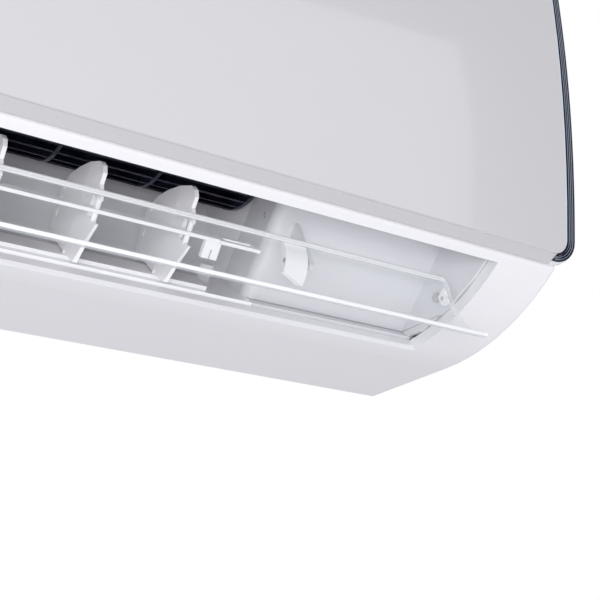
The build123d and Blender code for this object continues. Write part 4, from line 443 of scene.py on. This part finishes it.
# ---- Soft foam ----
# Black closed-cell sleeve round the pipes, and pale bead foam under the drain pan.
# Both show their cells.
SLEEVE_BLACK = (0.030, 0.031, 0.034)
SLEEVE_JOINT = (0.008, 0.008, 0.010)
SLEEVE_CELLS = 900
BEAD_FOAM_PALE = (0.82, 0.83, 0.82)
BEAD_FOAM_JOINT = (0.55, 0.56, 0.56)
BEAD_FOAM_CELLS = 260
# Where a cell ends and the joint is full, in Voronoi distance from the cell's middle.
FOAM_JOINT = (0.25, 0.75)


def foam(name, light, dark, cells, depth):
    """Foam: rounded cells with darker joints between them."""
    made = Finish(name, light, 0.85)
    cell = made.node("ShaderNodeTexVoronoi", {"feature": "F1"}, {"Vector": made.place(), "Scale": cells})
    joint = cell.step(*FOAM_JOINT)
    made.vary(joint, light, dark, roughness=0.78, spread=0.15)
    return made.bump(1 - joint, 0.5, depth)


dress(foam("pipe_sleeve_foam", SLEEVE_BLACK, SLEEVE_JOINT, SLEEVE_CELLS, 0.0003), "pipe_insulation")
dress(foam("pale_bead_foam", BEAD_FOAM_PALE, BEAD_FOAM_JOINT, BEAD_FOAM_CELLS, 0.0006), "drain_pan_foam")

# ---- Drain pan and spout ----
# White ABS mouldings under the fins, which catch the water and lead it off. They are out of
# sight, so their face is duller and grainier than the casing's.
dress(white_plastic("drain_pan_white", 0.36, 0.10, 0.08), "drain_pan", "drain_spout")

# ---- Air path ----
# Glossy white mouldings round the fan: the duct, the rear chassis and the wall at the left
# end of the outlet. Their grain is fainter than the casing's. Their white is lighter and bluer
# than the casing's: painted light inside the outlet.
# Painted light: whiter and bluer than the casing's white.
PATH_LIT_WHITE = (0.945, 0.940, 0.975)
PATH_LIT_DULL = (0.935, 0.930, 0.970)

path_white = white_plastic("gloss_white_air_path", 0.16, 0.5, 0.03, PATH_LIT_WHITE, PATH_LIT_DULL)
dress(path_white, "air_duct", "rear_chassis", "outlet_wall_left")

# ---- Recess at the right of the outlet ----
# A glossy white moulding. A fine dark line of painted shade runs along the joint at the foot
# of its wall, and a dark oval ring is drawn on its side strip.
# The pocket's white is darker than the casing's white: painted shade in the recess.
POCKET_SHADED_WHITE = (0.690, 0.695, 0.725)
POCKET_SHADED_DULL = (0.675, 0.680, 0.710)
# Colour of the painted shade along the joint, and of the oval ring.
SEAM_SHADE_AND_RING_DARK = (0.20, 0.21, 0.24)
SIDE_STRIP_X = 0.2534
SIDE_STRIP_FADE = 0.0004
MARK_Y = -0.1156
MARK_Z = -0.0885
MARK_HALF_DEPTH = 0.0009
MARK_HALF_HEIGHT = 0.0019
# Where the mark's ring begins and ends, as shares of its half size.
RING_START = (0.45, 0.75)
RING_END = (1.0, 1.3)
RING_STRENGTH = 0.7
FOOT_Z = -0.1344
FOOT_SIDES = (0.0002, 0.0006)
FOOT_END_Y = (-0.0905, -0.0895)
FOOT_STRENGTH = 0.55

pocket_white = white_plastic("gloss_white_pocket", 0.18, 0.45, 0.03, POCKET_SHADED_WHITE, POCKET_SHADED_DULL)
x, y, z = (pocket_white.axis(letter) for letter in "XYZ")
on_strip = 1 - x.step(SIDE_STRIP_X, SIDE_STRIP_X + SIDE_STRIP_FADE)
from_mark = (((y - MARK_Y) / MARK_HALF_DEPTH) ** 2 + ((z - MARK_Z) / MARK_HALF_HEIGHT) ** 2) ** 0.5
oval = from_mark.step(*RING_START) * (1 - from_mark.step(*RING_END)) * on_strip
# Painted shade along the joint at the foot of the wall.
foot = (1 - abs(z - FOOT_Z).step(*FOOT_SIDES)) * (1 - y.step(*FOOT_END_Y))
pocket_white.mark((oval * RING_STRENGTH).most(foot * FOOT_STRENGTH), SEAM_SHADE_AND_RING_DARK)
dress(pocket_white, "outlet_pocket_right")

# ---- Cross-flow fan ----
# Rotor of glass-filled blue-black plastic: curved blades between rings. Dust has begun to
# settle on it in patches, which are duller.
FAN_BLACK = (0.006, 0.007, 0.022)
FAN_DUST = (0.035, 0.038, 0.070)
DUST_EDGE = (0.35, 0.75)

rotor = Finish("blue_black_fan", FAN_BLACK, 0.34, Coat_Weight=0.2, Coat_Roughness=0.2)
settled = rotor.noise(90, 4)
rotor.feed(
    Base_Color=rotor.blend(settled.step(*DUST_EDGE), FAN_BLACK, FAN_DUST),
    Roughness=0.26 + settled * 0.25,
)
rotor.bump(rotor.noise(1300, 2), 0.12, 0.0001)
dress(rotor, "cross_flow_fan")

# ---- Cushion of the fan's bearing ----
# A ring of black rubber that the brass bearing sits in. A grey bloom has come out on it in
# patches.
RUBBER = (0.020, 0.020, 0.022)
RUBBER_BLACK = (0.014, 0.014, 0.016)
RUBBER_BLOOM = (0.045, 0.045, 0.048)

rubber = Finish("bearing_rubber", RUBBER, 0.70)
rubber.vary(rubber.noise(120, 3), RUBBER_BLACK, RUBBER_BLOOM, roughness=0.6, spread=0.2)
rubber.bump(rubber.noise(1600, 2), 0.2, 0.0001)
dress(rubber, "bearing_cushion")

# ---- Fan motor ----
# The motor is cast into pale resin. The resin's mineral filler shows as small darker
# patches, which are also rougher.
RESIN = (0.52, 0.52, 0.50)
RESIN_PALE = (0.56, 0.56, 0.54)
RESIN_DARK = (0.42, 0.42, 0.41)

resin = Finish("motor_resin", RESIN, 0.60)
filler = resin.noise(320, 4)
resin.vary(filler, RESIN_PALE, RESIN_DARK, roughness=0.5, spread=0.2)
resin.bump(filler, 0.25, 0.0002)
dress(resin, "fan_motor")

# ---- Plated sheet parts ----
# The motor's saddle strap, the wall plate and the small louver motor are zinc-plated steel.
# The plating shows the crystal pattern of the zinc.
ZINC = (0.60, 0.62, 0.64)
ZINC_DARK = (0.50, 0.52, 0.54)
ZINC_LIGHT = (0.70, 0.72, 0.74)
ZINC_CRYSTALS = 140.0

zinc = Finish("plated_sheet", ZINC, 0.38, Metallic=0.9)
crystals = {"Vector": zinc.place(), "Scale": ZINC_CRYSTALS}
crystal = zinc.node("ShaderNodeTexVoronoi", {"feature": "F1"}, crystals, output="Color")
grey = zinc.node("ShaderNodeSeparateXYZ", inputs={0: crystal}, output="X")
zinc.vary(grey, ZINC_DARK, ZINC_LIGHT, roughness=0.28, spread=0.2)
zinc.bump(zinc.noise(900, 2), 0.06, 0.0001)
dress(zinc, "motor_clamp", "mounting_plate", "louver_motor")

# ---- Electrics ----
# Flame-proof box and cover of ivory plastic, green circuit boards with lighter copper
# tracks under the lacquer, a dark terminal block, and a white push button.
IVORY = (0.76, 0.75, 0.69)
IVORY_PALE = (0.78, 0.77, 0.71)
IVORY_DARK = (0.72, 0.71, 0.65)
BOARD_GREEN = (0.02, 0.12, 0.05)
LACQUER_GREEN = (0.012, 0.085, 0.035)
TRACK_GREEN = (0.05, 0.24, 0.09)
TRACKS = 230.0
TRACK_WANDER = 0.6
TRACK_SIDES = (0.05, 0.09)
BLOCK = (0.05, 0.05, 0.055)
BLOCK_DARK = (0.035, 0.035, 0.04)
BLOCK_FIBRE = (0.09, 0.09, 0.095)

ivory = Finish("ivory_flameproof_plastic", IVORY, 0.45)
ivory.vary(ivory.noise(20, 3), IVORY_PALE, IVORY_DARK, roughness=0.4, spread=0.1)
ivory.bump(ivory.noise(1400, 2), 0.12, 0.0001)
dress(ivory, "electric_box", "electric_cover")

board = Finish("lacquered_board", BOARD_GREEN, 0.30, Coat_Weight=0.5, Coat_Roughness=0.1)
lanes = {"Vector": board.place(), "Scale": TRACKS, "Randomness": TRACK_WANDER}
lane = board.node("ShaderNodeTexVoronoi", {"feature": "DISTANCE_TO_EDGE"}, lanes)
track = 1 - lane.step(*TRACK_SIDES)
board.vary(track, LACQUER_GREEN, TRACK_GREEN, roughness=0.35, spread=-0.1)
board.bump(track, 0.3, 0.0001)
dress(board, "circuit_board", "receiver_board")

block_plastic = Finish("terminal_plastic", BLOCK, 0.50)
fibre = block_plastic.noise(600, 3, (1, 3, 1))
block_plastic.vary(fibre, BLOCK_DARK, BLOCK_FIBRE, roughness=0.42, spread=0.2)
block_plastic.bump(fibre, 0.2, 0.0001)
dress(block_plastic, "terminal_block")

dress(white_plastic("worn_button_white", 0.34, 0.10, 0.10), "service_button")

# ---- Upright vanes, their rail and link bars ----
# Bright white acetal, slightly waxy, snapped on the rail and joined by the bars, so all of a
# bank turn together. The louver's arms are of the same plastic.
VANE_WHITE = (0.935, 0.935, 0.950)
VANE_DULL = (0.900, 0.900, 0.925)
VANES = [f"vane_{number}" for number in range(1, 11)]

acetal = Finish("waxy_white_acetal", VANE_WHITE, 0.30, Coat_Weight=0.2, Coat_Roughness=0.25)
acetal.vary(acetal.noise(30, 3, (1, 2, 1)), VANE_WHITE, VANE_DULL, roughness=0.26, spread=0.1)
acetal.bump(acetal.noise(1100, 2), 0.06, 0.0001)
dress(acetal, *VANES, "vane_rail", "link_bar_left", "link_bar_right", "louver_arms")

# ---- Louver ----
# One bent strip of clear acrylic. Its lower lip beyond the bend is hazed, and light gathers
# in its edges, so they look white. The finish is told by the place on the strip.
ACRYLIC = (0.90, 0.93, 0.96)
HAZE = (0.72, 0.77, 0.81)
EDGE_WHITE = (0.95, 0.96, 0.98)
LOUVER_TOP_Z = -0.1140
LOUVER_BEND_Y = -0.1656
LOUVER_LIP_Y = -0.1797
LOUVER_END_X = 0.3690
# Between which places the white of each edge, and the clear strip above the bend, set in.
UPPER_EDGE = (LOUVER_TOP_Z - 0.0030, LOUVER_TOP_Z - 0.0022)
LIP_EDGE = (LOUVER_LIP_Y + 0.0004, LOUVER_LIP_Y + 0.0012)
END_EDGE = (LOUVER_END_X - 0.0014, LOUVER_END_X - 0.0008)
BEND = (LOUVER_BEND_Y - 0.0004, LOUVER_BEND_Y + 0.0002)
GLANCE_BLEND = 0.35
# How solid the clear strip, the haze, a view along the face, and the white edges look.
BODY_ALPHA = 0.10
HAZE_ALPHA = 0.22
GLANCE_ALPHA = 0.35
EDGE_ALPHA = 0.85
END_SHARE = 0.55

acrylic = Finish("clear_acrylic", ACRYLIC, 0.06, IOR=1.49)
x, y, z = (acrylic.axis(letter) for letter in "XYZ")
upper_edge = z.step(*UPPER_EDGE)
lip_edge = 1 - y.step(*LIP_EDGE)
end_edge = abs(x).step(*END_EDGE)
hazed = 1 - y.step(*BEND)
bright = upper_edge.most(lip_edge).most(end_edge * END_SHARE)
glance = acrylic.node("ShaderNodeLayerWeight", inputs={"Blend": GLANCE_BLEND}, output="Facing")
body = BODY_ALPHA + hazed * HAZE_ALPHA + glance**3 * GLANCE_ALPHA
acrylic.feed(
    Base_Color=acrylic.blend(bright, acrylic.blend(hazed, ACRYLIC, HAZE), EDGE_WHITE),
    Alpha=body.most(bright * EDGE_ALPHA),
    Roughness=0.05 + acrylic.noise(70, 2) * 0.04,
)
acrylic.bump(acrylic.noise(120, 2), 0.02, 0.0003)
dress(acrylic, "louver")

# ---- Beads of the louver ----
# Rounded beads are moulded along the blade's upper edge and its lip, and stiffen it. Their
# white, streaked along their length, is painted light gathered in the clear blade's edges.
STREAK_GREY = (0.88, 0.90, 0.93)
BEAD_ALPHA = 0.80
STREAK_ALPHA = 0.2
PIVOT_Y = -0.1430
PIVOT_Z = -0.1280
BEAD_REACH = 0.3675
BEAD_SIDES = 16
BALL_RINGS = 6
# How far each bead lies in front of the pivot and above it, and its radius.
BEADS = {"louver_upper_bead": (0.0006, 0.0128, 0.0015), "louver_lip_bead": (0.0356, -0.0334, 0.0012)}

# The beads' white is painted light gathered in the clear blade's edges.
edge_glow_bead = Finish("white_bead_edge", EDGE_WHITE, 0.12, Coat_Weight=0.5)
streak = edge_glow_bead.noise(90, 3, (0.2, 1, 1))
edge_glow_bead.feed(Base_Color=edge_glow_bead.blend(streak, EDGE_WHITE, STREAK_GREY), Alpha=BEAD_ALPHA + streak * STREAK_ALPHA)
edge_glow_bead.bump(streak, 0.05, 0.0002)


def bead(name, forward, up, radius):
    """Rod along X with round ends: the ring at angle s from an end ball's middle lies
    radius * sin(s) beyond the ball's centre, and its own radius is radius * cos(s)."""
    quarter = np.linspace(0, math.pi / 2, BALL_RINGS)
    tilt = np.concatenate([-quarter[::-1], quarter])
    ball = np.repeat([radius - BEAD_REACH, BEAD_REACH - radius], BALL_RINGS)
    angle = np.linspace(0, 2 * math.pi, BEAD_SIDES, endpoint=False)
    ring = radius * np.cos(tilt)[:, None]
    along = (ball + radius * np.sin(tilt))[:, None] + 0 * angle
    depth = PIVOT_Y - forward + ring * np.cos(angle)
    height = PIVOT_Z + up + ring * np.sin(angle)
    points = np.stack([along, depth, height], axis=-1)
    first = np.arange(along.size).reshape(along.shape)
    second = np.roll(first, -1, axis=1)
    faces = np.stack([first[:-1], second[:-1], second[1:], first[1:]], axis=-1)
    mesh = bpy.data.meshes.new(name)
    mesh.from_pydata(points.reshape(-1, 3).tolist(), [], faces.reshape(-1, 4).tolist())
    mesh.polygons.foreach_set("use_smooth", np.ones(len(mesh.polygons), dtype=bool))
    mesh.materials.append(edge_glow_bead.material)
    piece = bpy.data.objects.new(name, mesh)
    bpy.context.scene.collection.objects.link(piece)
    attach(piece, "louver_blade")


for name, (forward, up, radius) in BEADS.items():
    bead(name, forward, up, radius)

# ---- Cap on the outlet's end wall ----
# A plug of grey rubber at the end of the outlet, moulded and pushed in. Dust has settled on
# it in small paler patches.
PLUG = (0.42, 0.43, 0.45)
PLUG_GREY = (0.40, 0.41, 0.43)
PLUG_DUST = (0.52, 0.53, 0.55)

plug = Finish("grey_rubber_plug", PLUG, 0.60)
plug.vary(plug.noise(400, 3), PLUG_GREY, PLUG_DUST, roughness=0.55, spread=0.15)
plug.bump(plug.noise(1800, 2), 0.15, 0.0001)
dress(plug, "end_wall_cap")
